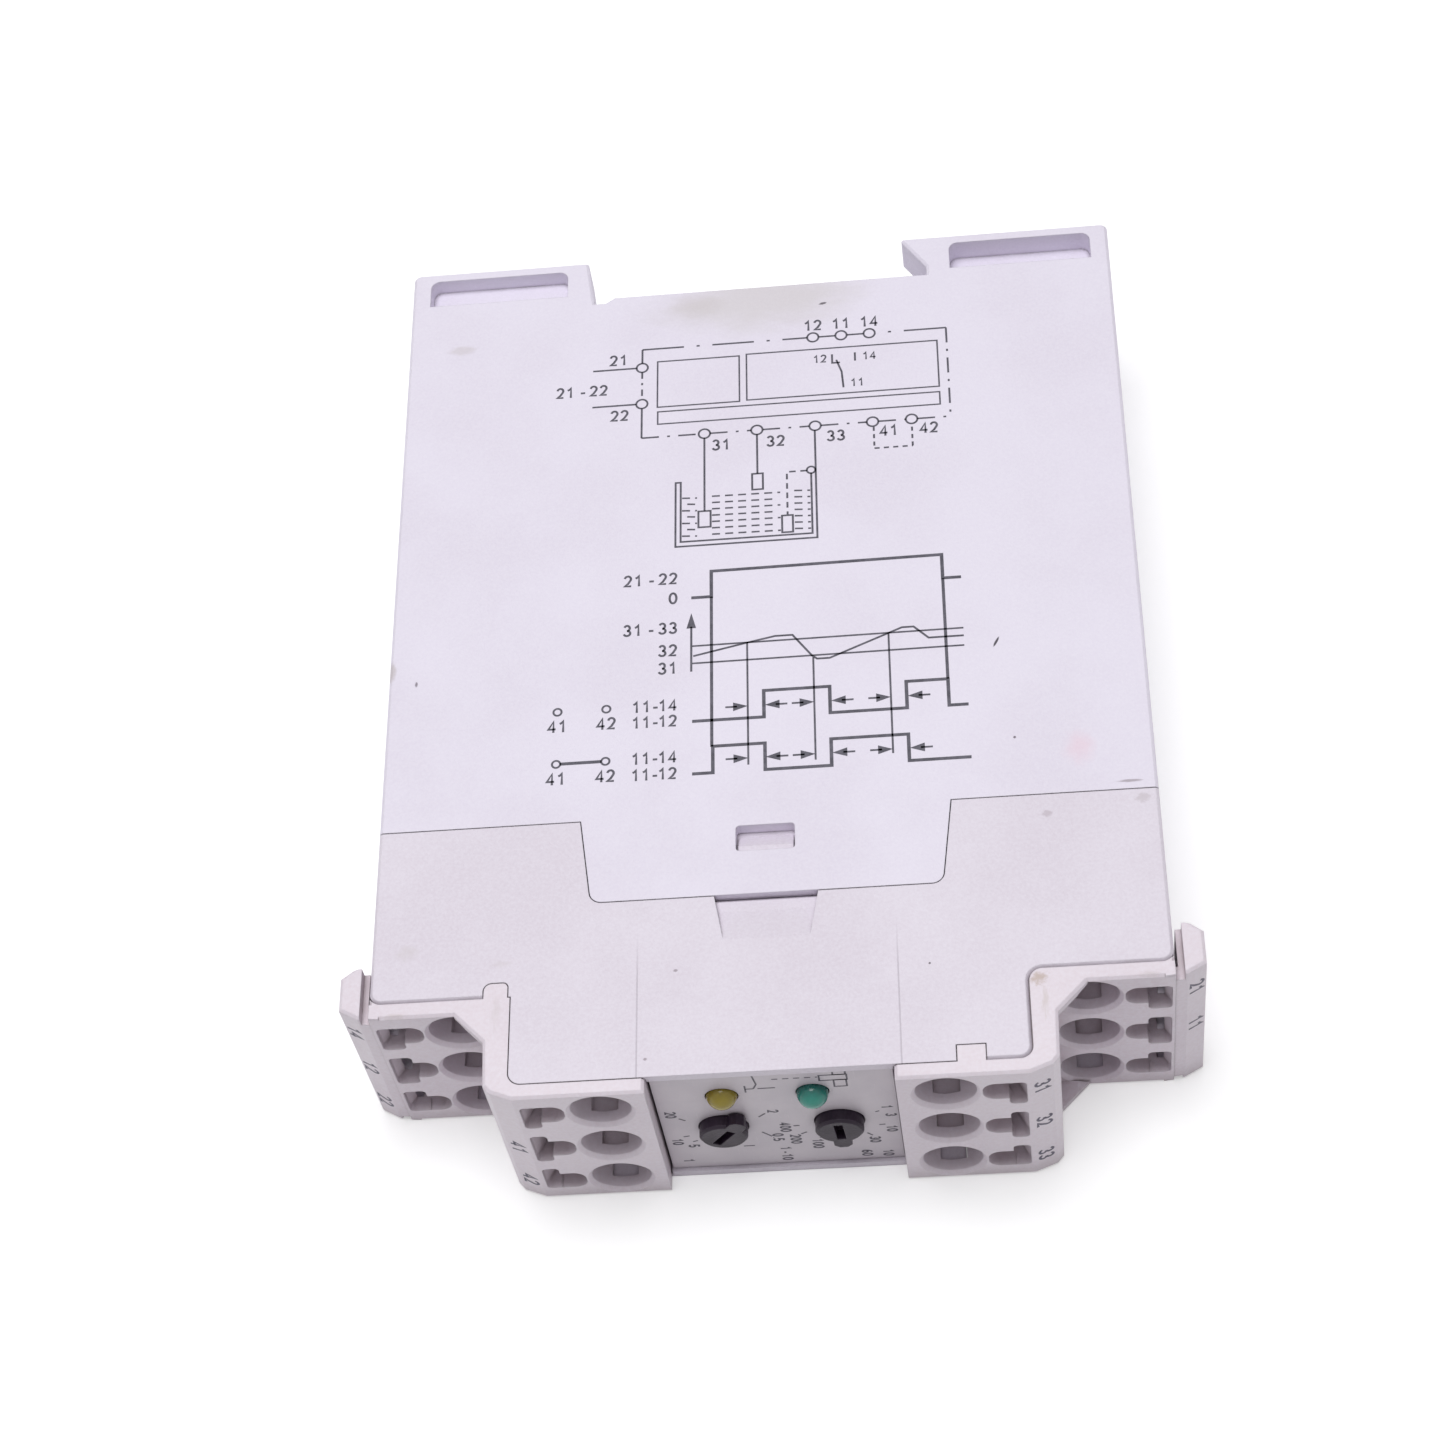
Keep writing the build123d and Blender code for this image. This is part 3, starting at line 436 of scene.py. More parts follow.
knobLook = {
    "colour": (45, 33, 48), "mottle": (36, 26, 39), "fleck": (62, 50, 65), "fleckAmount": 0.25,
    "grainSize": 0.25, "depth": 0.02, "mottleSize": 2.5, "roughness": (0.32, 0.41), "specular": 0.24,
    "edgeRadius": 0.14, "edge": (112, 102, 114), "edgeAmount": 0.45,
}
trimmerLook = knobLook | {
    "colour": (42, 92, 168), "mottle": (36, 80, 150), "fleck": (60, 110, 184), "edge": (96, 140, 200),
    "roughness": (0.31, 0.4),
}
blackLook = knobLook | {
    "colour": (36, 35, 37), "mottle": (30, 29, 31), "fleck": (52, 51, 54), "edge": (80, 79, 82),
    "roughness": (0.44, 0.53),
}
latchLook = knobLook | {
    "colour": (38, 37, 40), "mottle": (32, 31, 34), "fleck": (56, 55, 60), "edge": (92, 90, 96),
    "mottleSize": 6, "roughness": (0.41, 0.5),
}
relayLook = knobLook | {
    "colour": (60, 118, 182), "mottle": (52, 106, 168), "fleck": (80, 136, 196), "edge": (130, 170, 212),
    "mottleSize": 8, "roughness": (0.26, 0.35), "coat": 0.3,
}
chipLook = knobLook | {
    "colour": (44, 44, 46), "mottle": (38, 38, 40), "fleck": (66, 66, 70), "fleckAmount": 0.5,
    "edge": (86, 86, 90), "grainSize": 0.12, "roughness": (0.54, 0.63),
}

plastics = {
    "case_plastic": caseLook, "hood_plastic": hoodLook, "block_plastic": blockLook,
    "knob_plastic": knobLook,
    "trimmer_plastic": trimmerLook, "black_plastic": blackLook, "latch_plastic": latchLook,
    "relay_cover": relayLook,
}
finishes = {slot: mouldedPlastic(slot.replace("_", " "), look) for slot, look in plastics.items()}
finishes["chip"] = mouldedPlastic("chip body", chipLook)
print("plastics made:", len(finishes))

labelLook = {
    "colour": (208, 200, 208), "mottle": (200, 192, 201), "rubbed": (222, 215, 222), "grainSize": 0.16,
    # the dark colour with its reach and amount is painted shade round the knobs and lamps
    "mottleSize": 5.0, "roughness": (0.29, 0.44), "depth": 0.006, "shadeAndDirt": (120, 110, 120),
    "creaseShadeReach": 0.7, "creaseShadeAmount": 0.45, "rubSize": 0.4, "rubStretch": (1.0, 1.0, 0.15), "rubShare": 0.6,
    "rubAmount": 0.4,
}


# Printed plate: a smooth film, rubbed lighter in streaks, with painted shade round the knobs and lamps
def platePrint(name, look):
    material, tree, place = startMaterial(name)
    grain = grainOf(tree, place, look)
    inputs = {
        "Vector": place, "Stretch": look["rubStretch"], "Size": look["rubSize"], "Share": look["rubShare"]
    }
    rubs = useGroup(tree, scratchGroup, inputs)
    # painted shade round the knobs and lamps, where other surfaces stand close
    crease = useGroup(tree, creaseGroup, {"Vector": place, "Reach": look["creaseShadeReach"]})
    colour = mottled(tree, grain, look)
    colour = layOver(tree, colour, rubs["Mask"], look["rubAmount"], look["rubbed"])
    colour = layOver(tree, colour, crease["Mask"], look["creaseShadeAmount"], look["shadeAndDirt"])
    rough = remap(tree, rubs["Height"], *noiseSpan, *look["roughness"])
    return joinShader(material, look, colour, rough, grain["Height"])


# What both lenses share: how far behind the tip the root's colour is full, the cloud inside, gloss and glow
lensBase = {
    "reach": 1.9, "cloudScale": 900.0, "cloudSpan": (0.45, 0.7), "cloudAmount": 0.25, "depth": 0.01,
    "roughness": (0.12, 0.22), "subsurface": 0.35, "glowReach": 0.8 * mm, "specular": 0.3, "coat": 0.2,
    "coatRoughness": 0.05,
}


# Tinted lens: deeper colour at its root than at its tip, which is painted shade at the root and painted light
# at the tip, and a faint cloud inside
def tintedLens(name, node, look):
    look = lensBase | look
    material, tree, place = startMaterial(name)
    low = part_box(node)[0]
    depth = addNode(tree, "SeparateXYZ", {0: place}).outputs[1]
    cloud = noise(tree, place, look["cloudScale"], 3.0)
    # painted shade at the root, painted light at the tip
    root = remap(tree, depth, low.y, low.y + look["reach"] * mm, soft=True)
    colour = mixColour(tree, root, paint(*look["tip"]), paint(*look["root"]))
    cloudy = remap(tree, cloud, *look["cloudSpan"], 0.0, look["cloudAmount"])
    colour = mixColour(tree, cloudy, colour, paint(*look["cloud"]))
    rough = remap(tree, cloud, *noiseSpan, *look["roughness"])
    return joinShader(material, look, colour, rough, cloud)


# tip and root colours: the darker root is painted shade, the lighter tip painted light
yellowLook = {
    "tip": (152, 135, 38), "root": (118, 101, 24), "cloud": (166, 150, 60), "glow": (1.0, 0.8, 0.2)
}
greenLook = {"tip": (46, 142, 128), "root": (18, 86, 82), "cloud": (78, 162, 150), "glow": (0.3, 1.0, 0.7)}
finishes["label"] = platePrint("label plate", labelLook)
finishes["yellow_lens"] = tintedLens("yellow lens", "lamp_left", yellowLook)
finishes["green_lens"] = tintedLens("green lens", "lamp_right", greenLook)

zincLook = {
    "colour": (196, 194, 190), "shade": (150, 148, 146), "tarnish": (120, 112, 98),
    "roughness": (0.26, 0.48), "spangle": 0.5, "stretch": (1, 1, 1),
}
brassLook = {
    "colour": (214, 184, 118), "shade": (178, 146, 84), "tarnish": (122, 92, 50), "roughness": (0.22, 0.44),
    "spangle": 0.3, "stretch": (1, 0.1, 1),
}
springLook = {
    "colour": (168, 170, 174), "shade": (120, 122, 126), "tarnish": (90, 84, 78), "roughness": (0.18, 0.4),
    "spangle": 0.2, "stretch": (0.2, 1, 1),
}


# What all the metals share: scratches, edges and patches of tarnish
metalBase = {
    "scratchSize": 0.18, "scratchShare": 0.6, "depth": 0.012, "edgeRadius": 0.1, "edgeAmount": 0.4,
    "metal": 1.0, "grainSize": 0.2, "mottleSize": 3.0, "tarnishSpan": (0.55, 1.0), "tarnishAmount": 0.5,
    "shadeAmount": 0.5,
}


# Bare metal: rolled or plated tone changes, fine scratches along the stretch, patches of tarnish
def bareMetal(name, look):
    look = metalBase | look
    material, tree, place = startMaterial(name)
    cells = addNode(tree, "TexVoronoi", {"Vector": place, "Scale": 1000 / look["spangle"]})
    tone = addNode(tree, "SeparateColor", {"Color": cells.outputs["Color"]}).outputs[0]
    inputs = {
        "Vector": place, "Stretch": look["stretch"], "Size": look["scratchSize"],
        "Share": look["scratchShare"],
    }
    lines = useGroup(tree, scratchGroup, inputs)
    edge = useGroup(tree, edgeGroup, {"Vector": place, "Radius": look["edgeRadius"]})
    wide = grainOf(tree, place, look)
    colour = layOver(tree, paint(*look["colour"]), tone, look["shadeAmount"], look["shade"])
    tarnish = remap(tree, wide["Mottle"], *look["tarnishSpan"], 0.0, look["tarnishAmount"])
    colour = mixColour(tree, tarnish, colour, paint(*look["tarnish"]))
    colour = layOver(tree, colour, edge["Mask"], look["edgeAmount"], look["colour"])
    rough = remap(tree, lines["Height"], *noiseSpan, *look["roughness"])
    return joinShader(material, look, colour, rough, lines["Height"], edge)


finishes["plated_steel"] = bareMetal("zinc plated steel", zincLook)
finishes["brass"] = bareMetal("tinned brass", brassLook)
finishes["spring_steel"] = bareMetal("spring wire", springLook)

windingLook = {
    "colour": (176, 92, 44), "gap": (70, 30, 14), "pitch": 0.3, "axis": "X", "metal": 0.85,
    "roughness": (0.23, 0.36), "depth": 0.05,
}
coreLook = {
    "colour": (104, 104, 108), "gap": (46, 45, 47), "pitch": 0.5, "axis": "Z", "metal": 0.8,
    "roughness": (0.4, 0.53), "depth": 0.03,
}
tapeLook = {
    "colour": (206, 176, 74), "gap": (172, 142, 52), "pitch": 5.0, "axis": "Y", "metal": 0.0,
    "roughness": (0.27, 0.4), "depth": 0.05,
}


layerBase = {"waver": 0.3, "grainSize": 0.3, "mottleSize": 4.0, "gapSpan": (0.1, 0.5), "shadeAmount": 0.3}


# Layered surface: turns of wire, stacked sheets or laps of tape, as round bands across one axis
def layeredSurface(name, look):
    look = layerBase | look
    material, tree, place = startMaterial(name)
    # at scale 1 the wave repeats every 2 pi / 20 units, so the pitch sets the scale
    scale = 2 * math.pi / 20 / (look["pitch"] * mm)
    inputs = {
        "Vector": place, "Scale": scale, "Distortion": look["waver"], "Detail": 1.0, "Detail Scale": 0.4
    }
    bands = addNode(tree, "TexWave", inputs, bands_direction=look["axis"]).outputs["Fac"]
    grain = grainOf(tree, place, look)
    raised = remap(tree, bands, *look["gapSpan"])
    colour = mixColour(tree, raised, paint(*look["gap"]), paint(*look["colour"]))
    colour = layOver(tree, colour, grain["Mottle"], look["shadeAmount"], look["gap"])
    rough = remap(tree, grain["Mottle"], 0.0, 1.0, *look["roughness"])
    return joinShader(material, look, colour, rough, bands)


finishes["winding"] = layeredSurface("enamelled winding", windingLook)
finishes["core_steel"] = layeredSurface("laminated core", coreLook)
finishes["winding_tape"] = layeredSurface("winding tape", tapeLook)

boardLook = {
    "resist": (30, 92, 58), "track": (48, 120, 78), "bare": (196, 190, 160), "edge": (150, 140, 90),
    "pitch": 2.54, "trackPitches": 4, "trackWidth": 0.06, "padRadius": 0.16, "padLimit": 0.72,
    "grainSize": 0.4, "mottleSize": 9.0, "edgeRadius": 0.15, "edgeAmount": 0.6, "depth": 0.03,
    "roughness": (0.25, 0.4),
}


# Circuit board: solder resist, tracks showing through as a brick pattern, tinned dots on the pitch grid
def circuitBoard(name, look):
    material, tree, place = startMaterial(name)
    inputs = {
        "Vector": place, "Scale": 1000 / look["pitch"] / look["trackPitches"],
        "Mortar Size": look["trackWidth"], "Mortar Smooth": 0.1,
    }
    inputs |= {"Color1": (0, 0, 0, 1), "Color2": (0.25, 0.25, 0.25, 1), "Mortar": (1, 1, 1, 1)}
    tracks = addNode(tree, "TexBrick", inputs).outputs["Color"]
    dotInputs = {"Vector": place, "Scale": 1000 / look["pitch"], "Randomness": 0.0}
    dots = addNode(tree, "TexVoronoi", dotInputs).outputs["Distance"]
    grain = grainOf(tree, place, look)
    shown = calc(tree, "GREATER_THAN", grain["Mottle"], look["padLimit"])
    pads = times(tree, calc(tree, "LESS_THAN", dots, look["padRadius"]), shown)
    colour = mixColour(tree, tracks, paint(*look["resist"]), paint(*look["track"]))
    colour = mixColour(tree, pads, colour, paint(*look["bare"]))
    edge = useGroup(tree, edgeGroup, {"Vector": place, "Radius": look["edgeRadius"]})
    colour = layOver(tree, colour, edge["Mask"], look["edgeAmount"], look["edge"])
    rough = remap(tree, grain["Mottle"], 0.0, 1.0, *look["roughness"])
    return joinShader(material, look, colour, rough, tracks, edge)


sleeveLook = {
    "colour": (34, 38, 62), "mottle": (28, 31, 52), "stripe": (206, 206, 212), "crown": (190, 190, 194),
    "grainSize": 0.3, "mottleSize": 6.0, "stripeLimit": 0.88, "crownLimit": 0.9, "dashPitch": 3.0,
    "dashGap": 0.4, "depth": 0.01, "roughness": (0.2, 0.34),
}
dipLook = {
    "colour": (44, 84, 150), "mottle": (34, 70, 132), "crown": (74, 116, 178), "grainSize": 1.6,
    "mottleSize": 4.0, "crownSpan": (0.5, 0.75), "crownAmount": 0.6, "depth": 0.15,
    "roughness": (0.16, 0.28), "coat": 0.5,
}


# Capacitor can: a dark shrink sleeve with pale dashes down one side, bare metal at the crown
def canSleeve(name, look):
    material, tree, place = startMaterial(name)
    parts = addNode(tree, "SeparateXYZ", {0: place}).outputs
    grain = grainOf(tree, place, look)
    colour = mottled(tree, grain, look)
    facing = addNode(tree, "SeparateXYZ", {0: addNode(tree, "NewGeometry").outputs["Normal"]}).outputs
    side = calc(tree, "GREATER_THAN", facing[1], look["stripeLimit"])
    rise = calc(tree, "FRACT", times(tree, parts[2], 1000 / look["dashPitch"]))
    dash = calc(tree, "GREATER_THAN", rise, look["dashGap"])
    colour = layOver(tree, colour, side, dash, look["stripe"])
    crown = calc(tree, "GREATER_THAN", facing[2], look["crownLimit"])
    colour = mixColour(tree, crown, colour, paint(*look["crown"]))
    rough = remap(tree, grain["Fleck"], 0.0, 1.0, *look["roughness"])
    tree.links.new(crown, tree.nodes["Principled BSDF"].inputs["Metallic"])
    return joinShader(material, look, colour, rough, grain["Height"])


# Dipped coating: glossy, slightly lumpy, thinner and paler on the crowns of the lumps
def dippedCoat(name, look):
    material, tree, place = startMaterial(name)
    grain = grainOf(tree, place, look)
    colour = mottled(tree, grain, look)
    crown = remap(tree, grain["Height"], *look["crownSpan"], 0.0, look["crownAmount"])
    colour = mixColour(tree, crown, colour, paint(*look["crown"]))
    rough = remap(tree, grain["Mottle"], 0.0, 1.0, *look["roughness"])
    return joinShader(material, look, colour, rough, grain["Height"])


finishes["board"] = circuitBoard("solder resist", boardLook)
finishes["can_sleeve"] = canSleeve("can sleeve", sleeveLook)
finishes["varistor"] = dippedCoat("dipped coat", dipLook)

slotOf = {part["node"]: part["material_slot"] for part in frame["record"]["subparts"]}
for name, holder in nodes.items():
    for place in range(len(holder.data.materials)):
        holder.data.materials[place] = finishes[slotOf[name]]
print("finishes set on", len(nodes), "nodes from", len(finishes), "materials")


def linkMesh(name, mesh, material):
    mesh.materials.append(material)
    piece = bpy.data.objects.new(name, mesh)
    bpy.context.scene.collection.objects.link(piece)
    return piece


# A piece made here, which stays with the housing
def housingPiece(name, mesh, material):
    piece = linkMesh(name, mesh, material)
    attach(piece, "housing")
    return piece


# Latch spring: the wire is a circle carried along a helix, whose turns close up at both ends. It stands for
# the frame's own spring, which shortens towards the peg as the latch is pulled; this coil stays with the
# housing and keeps its length
springShape = {"wire": 0.35, "turns": 6, "endShare": 0.17, "steps": 216, "around": 10, "travel": 3.5}


def coilSpring(name, low, high, shape):
    wire, length = shape["wire"] / 2 * mm, high.x - low.x
    radius = (high.z - low.z) / 2 - wire
    middle = (low + high) / 2
    along = np.linspace(0, 1, shape["steps"] + 1)[:, None]
    angle = 2 * math.pi * shape["turns"] * along
    closed = shape["endShare"] * shape["turns"] * wire * 2 / (length - wire * 2)
    rise = np.interp(along, [0, shape["endShare"], 1 - shape["endShare"], 1], [0, closed, 1 - closed, 1])
    turn = np.arange(shape["around"])[None, :] * 2 * math.pi / shape["around"]
    outer = radius + wire * np.cos(turn)
    x = low.x + wire + rise * (length - wire * 2) + wire * np.sin(turn)
    points = np.stack((x, middle.y + outer * np.cos(angle), middle.z + outer * np.sin(angle)), axis=-1)
    ring, step = np.meshgrid(np.arange(shape["around"]), np.arange(shape["steps"]))
    after = (ring + 1) % shape["around"]
    here, there = step * shape["around"], (step + 1) * shape["around"]
    quads = np.stack((here + ring, there + ring, there + after, here + after), axis=-1)
    quads = quads.reshape(-1, 4).tolist()
    last = shape["steps"] * shape["around"]
    caps = [list(range(shape["around"])), list(range(last + shape["around"] - 1, last - 1, -1))]
    mesh = bpy.data.meshes.new(name)
    mesh.from_pydata(points.reshape(-1, 3).tolist(), [], quads + caps)
    mesh.polygons.foreach_set("use_smooth", [True] * len(quads) + [False] * len(caps))
    mesh.update()
    return housingPiece(name, mesh, finishes[slotOf["latch_spring"]])


springLow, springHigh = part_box("latch_spring")
springPiece = coilSpring("latch_coil", springLow, springHigh, springShape)
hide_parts("latch_spring")
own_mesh(springPiece)
print("latch spring wound with", springShape["turns"], "turns")


# Ink

inkLook = {"colour": (62, 60, 72), "worn": (104, 101, 114), "mottleSize": 0.6}
labelInkLook = {"colour": (62, 58, 72), "worn": (112, 106, 118), "mottleSize": 0.4}
markerInkLook = {"colour": (72, 68, 88), "worn": (128, 122, 140), "mottleSize": 0.4}
inkBase = {"grainSize": 0.12, "amount": 0.55, "roughness": (0.38, 0.6), "depth": 0.004}


# Screen-printed ink, thin in places
def printedInk(name, look):
    look = inkBase | look
    material, tree, place = startMaterial(name)
    thin = grainOf(tree, place, look)
    share = times(tree, thin["Mottle"], look["amount"])
    colour = mixColour(tree, share, paint(*look["colour"]), paint(*look["worn"]))
    rough = remap(tree, thin["Fleck"], 0.0, 1.0, *look["roughness"])
    return joinShader(material, look, colour, rough, thin["Height"])


sideInk = printedInk("side ink", inkLook)
labelInk = printedInk("label ink", labelInkLook)
markerInk = printedInk("marker ink", markerInkLook)


ringSteps = 28  # sides of a drawn ring
sharpest = 0.6  # a corner's point reaches no further than half the line's width divided by this
shortestDash = 0.05
figureStep = 0.77  # from one figure to the next
figureGap = 0.17  # the empty end of that step
narrowSteps = {"-": 0.46, ".": 0.36, " ": 0.3}


# A drawing is flat shapes in millimetres, gathered until it is set on a face
def newDrawing():
    return {"points": [], "faces": [], "count": 0}


def addShape(drawing, points, faces):
    drawing["points"].append(np.asarray(points, float))
    drawing["faces"].extend((np.asarray(faces) + drawing["count"]).tolist())
    drawing["count"] += len(points)


# A line of even width: each point of the path moves to both sides by half the width, along the mean of
# its two segments' normals, and further at a sharp turn so that the width holds
def drawLine(drawing, path, width):
    path = np.asarray(path, float)
    along = np.diff(path, axis=0)
    along /= np.linalg.norm(along, axis=1, keepdims=True)
    normals = np.stack((-along[:, 1], along[:, 0]), axis=1)
    before = np.vstack((normals[:1], normals))
    after = np.vstack((normals, normals[-1:]))
    middle = before + after
    middle /= np.linalg.norm(middle, axis=1, keepdims=True)
    reach = width / 2 / np.maximum((middle * after).sum(axis=1, keepdims=True), sharpest)
    count = len(path)
    index = np.arange(count - 1)
    faces = np.stack((index + count, index + count + 1, index + 1, index), axis=1)
    addShape(drawing, np.vstack((path + middle * reach, path - middle * reach)), faces)


def drawBox(drawing, low, high, width):
    (x0, y0), (x1, y1) = low, high
    start = ((x0 + x1) / 2, y0)
    drawLine(drawing, [start, (x1, y0), (x1, y1), (x0, y1), (x0, y0), start], width)


# Straight dashes: the stroke and gap lengths repeat from the start of the run to its end
def drawDashes(drawing, start, end, width, lengths):
    start, end = np.array(start, float), np.array(end, float)
    whole = np.linalg.norm(end - start)
    repeats = int(whole / sum(lengths)) + 1
    marks = np.concatenate(([0.0], np.cumsum(np.tile(lengths, repeats))))
    for first, last in zip(marks[0::2], marks[1::2]):
        if first < whole - shortestDash:
            here, there = (start + (end - start) * min(place, whole) / whole for place in (first, last))
            drawLine(drawing, [here, there], width)


# A ring between two circles
def drawRing(drawing, centre, radius, width):
    turn = np.linspace(0, 2 * np.pi, ringSteps, endpoint=False)
    circle = np.stack((np.cos(turn), np.sin(turn)), axis=1)
    index = np.arange(ringSteps)
    following = (index + 1) % ringSteps
    points = np.vstack((circle * (radius + width / 2), circle * (radius - width / 2))) + centre
    faces = np.stack((index, following, following + ringSteps, index + ringSteps), axis=1)
    addShape(drawing, points, faces)


def drawArrow(drawing, tip, way, length, half):
    tip, way = np.array(tip, float), np.array(way, float)
    across = np.array((-way[1], way[0]))
    back = tip - way * length
    addShape(drawing, [tip, back + across * half, back - across * half], [[0, 1, 2]])


# Part of an ellipse as a path, from one angle to another in degrees
def bend(x, y, halfWidth, halfHeight, start, end, count=12):
    turn = np.radians(np.linspace(start, end, count))
    return np.stack((x + halfWidth * np.cos(turn), y + halfHeight * np.sin(turn)), axis=1)


# The middle lines of each figure's strokes, in a box one high
figures = {
    "0": [bend(0.3, 0.5, 0.25, 0.45, 90, 455, 26)],
    "1": [[(0.1, 0.72), (0.24, 0.78), (0.36, 0.95), (0.36, 0.0)]],
    "2": [np.vstack((bend(0.3, 0.7, 0.23, 0.25, 170, -25, 10), [(0.3, 0.25), (0.06, 0.05), (0.55, 0.05)]))],
    "3": [bend(0.29, 0.72, 0.2, 0.23, 160, -90), bend(0.29, 0.27, 0.24, 0.22, 90, -165)],
    "4": [[(0.42, 0.0), (0.42, 0.93), (0.05, 0.28), (0.58, 0.28)]],
    "5": [np.vstack(([(0.51, 0.95), (0.14, 0.95), (0.08, 0.5)], bend(0.28, 0.31, 0.25, 0.26, 130, -150)))],
    "6": [bend(0.3, 0.3, 0.23, 0.25, 90, 455, 22), bend(0.5, 0.34, 0.43, 0.61, 95, 178, 9)],
    "7": [[(0.06, 0.95), (0.55, 0.95), (0.32, 0.5), (0.22, 0.0)]],
    "8": [bend(0.3, 0.73, 0.2, 0.22, 90, 455, 20), bend(0.3, 0.28, 0.24, 0.23, 90, 455, 22)],
    "9": [bend(0.3, 0.69, 0.23, 0.25, 90, 455, 22), bend(0.1, 0.66, 0.43, 0.61, -85, -2, 9)],
    "-": [[(0.06, 0.36), (0.4, 0.36)]],
    ".": [[(0.17, 0.0), (0.17, 0.11)]],
    " ": [],
}


# Plain numbers, centred on the place or ending there. The stroke's weight is a share of the height
def drawNumber(drawing, text, centre, height, align="CENTER", narrow=1.0, weight=0.17):
    steps = [narrowSteps.get(letter, figureStep) for letter in text]
    across = {"CENTER": 0.5, "RIGHT": 1.0}[align]
    start = -(sum(steps) - figureGap) * across
    for letter, step in zip(text, steps):
        for path in figures[letter]:
            placed = (np.array(path) + (start, -0.5)) * height * (narrow, 1.0) + centre
            drawLine(drawing, placed, height * weight)
        start += step


# Sets a drawing on a face: each point goes from the origin along the two axes of the face
def setDrawing(name, drawing, origin, across, up, ink):
    across, up = np.array(across, float), np.array(up, float)
    outward = np.cross(across, up)
    flat = np.vstack(drawing["points"]) * mm
    points = np.array(origin) + flat[:, :1] * across + flat[:, 1:] * up + outward * printLift
    mesh = bpy.data.meshes.new(name)
    mesh.from_pydata(points.tolist(), [], drawing["faces"])
    mesh.update()
    normals = np.empty(len(mesh.polygons) * 3)
    mesh.polygons.foreach_get("normal", normals)
    turned = normals.reshape(-1, 3) @ outward < 0
    if turned.any():
        faces = [face[::-1] if flip else face for face, flip in zip(drawing["faces"], turned)]
        mesh.clear_geometry()
        mesh.from_pydata(points.tolist(), [], faces)
        mesh.update()
    housingPiece(name, mesh, ink)


# The side print: a connection plan over a tank with three probes, and a timing chart. Places are millimetres
# from the middle line and from the terminal faces
sidePrintLook = {
    "thin": 0.21, "medium": 0.22, "thick": 0.36, "hair": 0.2, "box": 0.17, "bold": 0.32, "number": 1.42,
    "left": -12.85, "right": 20.6, "bottom": 78.4, "top": 90.7, "ring": 0.62,
}


def drawPlan(drawing, look):
    left, right, bottom, top = look["left"], look["right"], look["bottom"], look["top"]
    thin, ring = look["thin"], look["ring"]
    topRings = (6.0, 9.1, 12.2)
    bottomRings = (-6.0, -0.3, 6.0, 12.2, 16.4)
    dashDot = (4.6, 1.4, 0.35, 1.4)
    drawDashes(drawing, (left, top), (topRings[0] - ring, top), thin, dashDot)
    drawDashes(drawing, (right, top), (topRings[2] + ring, top), thin, dashDot)
    drawLine(drawing, [(topRings[0] + ring, top), (topRings[1] - ring, top)], thin)
    drawLine(drawing, [(topRings[1] + ring, top), (topRings[2] - ring, top)], thin)
    drawDashes(drawing, (right, top), (right, bottom), thin, (2.1, 0.9, 0.3, 0.9))
    for first, last in zip((left, *bottomRings), (*bottomRings, right)):
        start = first if first == left else first + ring
        end = last if last == right else last - ring
        drawDashes(drawing, (start, bottom), (end, bottom), thin, (1.9, 0.9, 0.3, 0.9))
    leftRings = (88.15, 83.1)
    for first, last in ((top, leftRings[0] + ring), (leftRings[1] - ring, bottom)):
        drawLine(drawing, [(left, first), (left, last)], thin)
    between = (left, leftRings[0] - ring), (left, leftRings[1] + ring)
    drawDashes(drawing, *between, thin, (0.9, 0.6, 0.3, 0.6))
    for y in leftRings:
        drawRing(drawing, (left, y), ring, thin)
        drawLine(drawing, [(-18.3, y), (left - ring, y)], thin)
    for x in topRings:
        drawRing(drawing, (x, top), ring, thin)
    for x in bottomRings:
        drawRing(drawing, (x, bottom), ring, thin)
    boxes = ((-11.15, 82.5, -2.15, 88.85), (-1.35, 82.6, 19.55, 89.0), (-11.1, 80.15, 19.55, 81.85))
    for x0, y0, x1, y1 in boxes:
        drawBox(drawing, (x0, y0), (x1, y1), look["box"])
    drawLine(drawing, [(8.05, 88.1), (8.05, 86.9), (8.9, 86.9)], thin)
    drawLine(drawing, [(10.55, 88.15), (10.55, 87.0)], thin)
    drawLine(drawing, [(8.5, 87.3), (9.05, 85.6), (9.2, 83.4)], thin)
    for text, x, y in (("12", 6.7, 87.6), ("14", 12.1, 87.6), ("11", 10.7, 84.0)):
        drawNumber(drawing, text, (x, y), 1.05)
    numbers = [
        ("12", 6.0, 92.4), ("11", 9.1, 92.4), ("14", 12.2, 92.4), ("21", -15.5, 89.45), ("22", -15.3, 81.7),
        ("21 - 22", -19.5, 85.4), ("31", -4.2, 76.75), ("32", 1.7, 76.75), ("33", 8.2, 76.9),
        ("41", 13.9, 77.1), ("42", 18.2, 77.1),
    ]
    for text, x, y in numbers:
        drawNumber(drawing, text, (x, y), look["number"])
    for path in ([(12.3, 77.7), (12.3, 74.8)], [(12.3, 74.8), (16.4, 74.8)], [(16.4, 74.8), (16.4, 77.7)]):
        drawDashes(drawing, *path, thin, (0.55, 0.45))


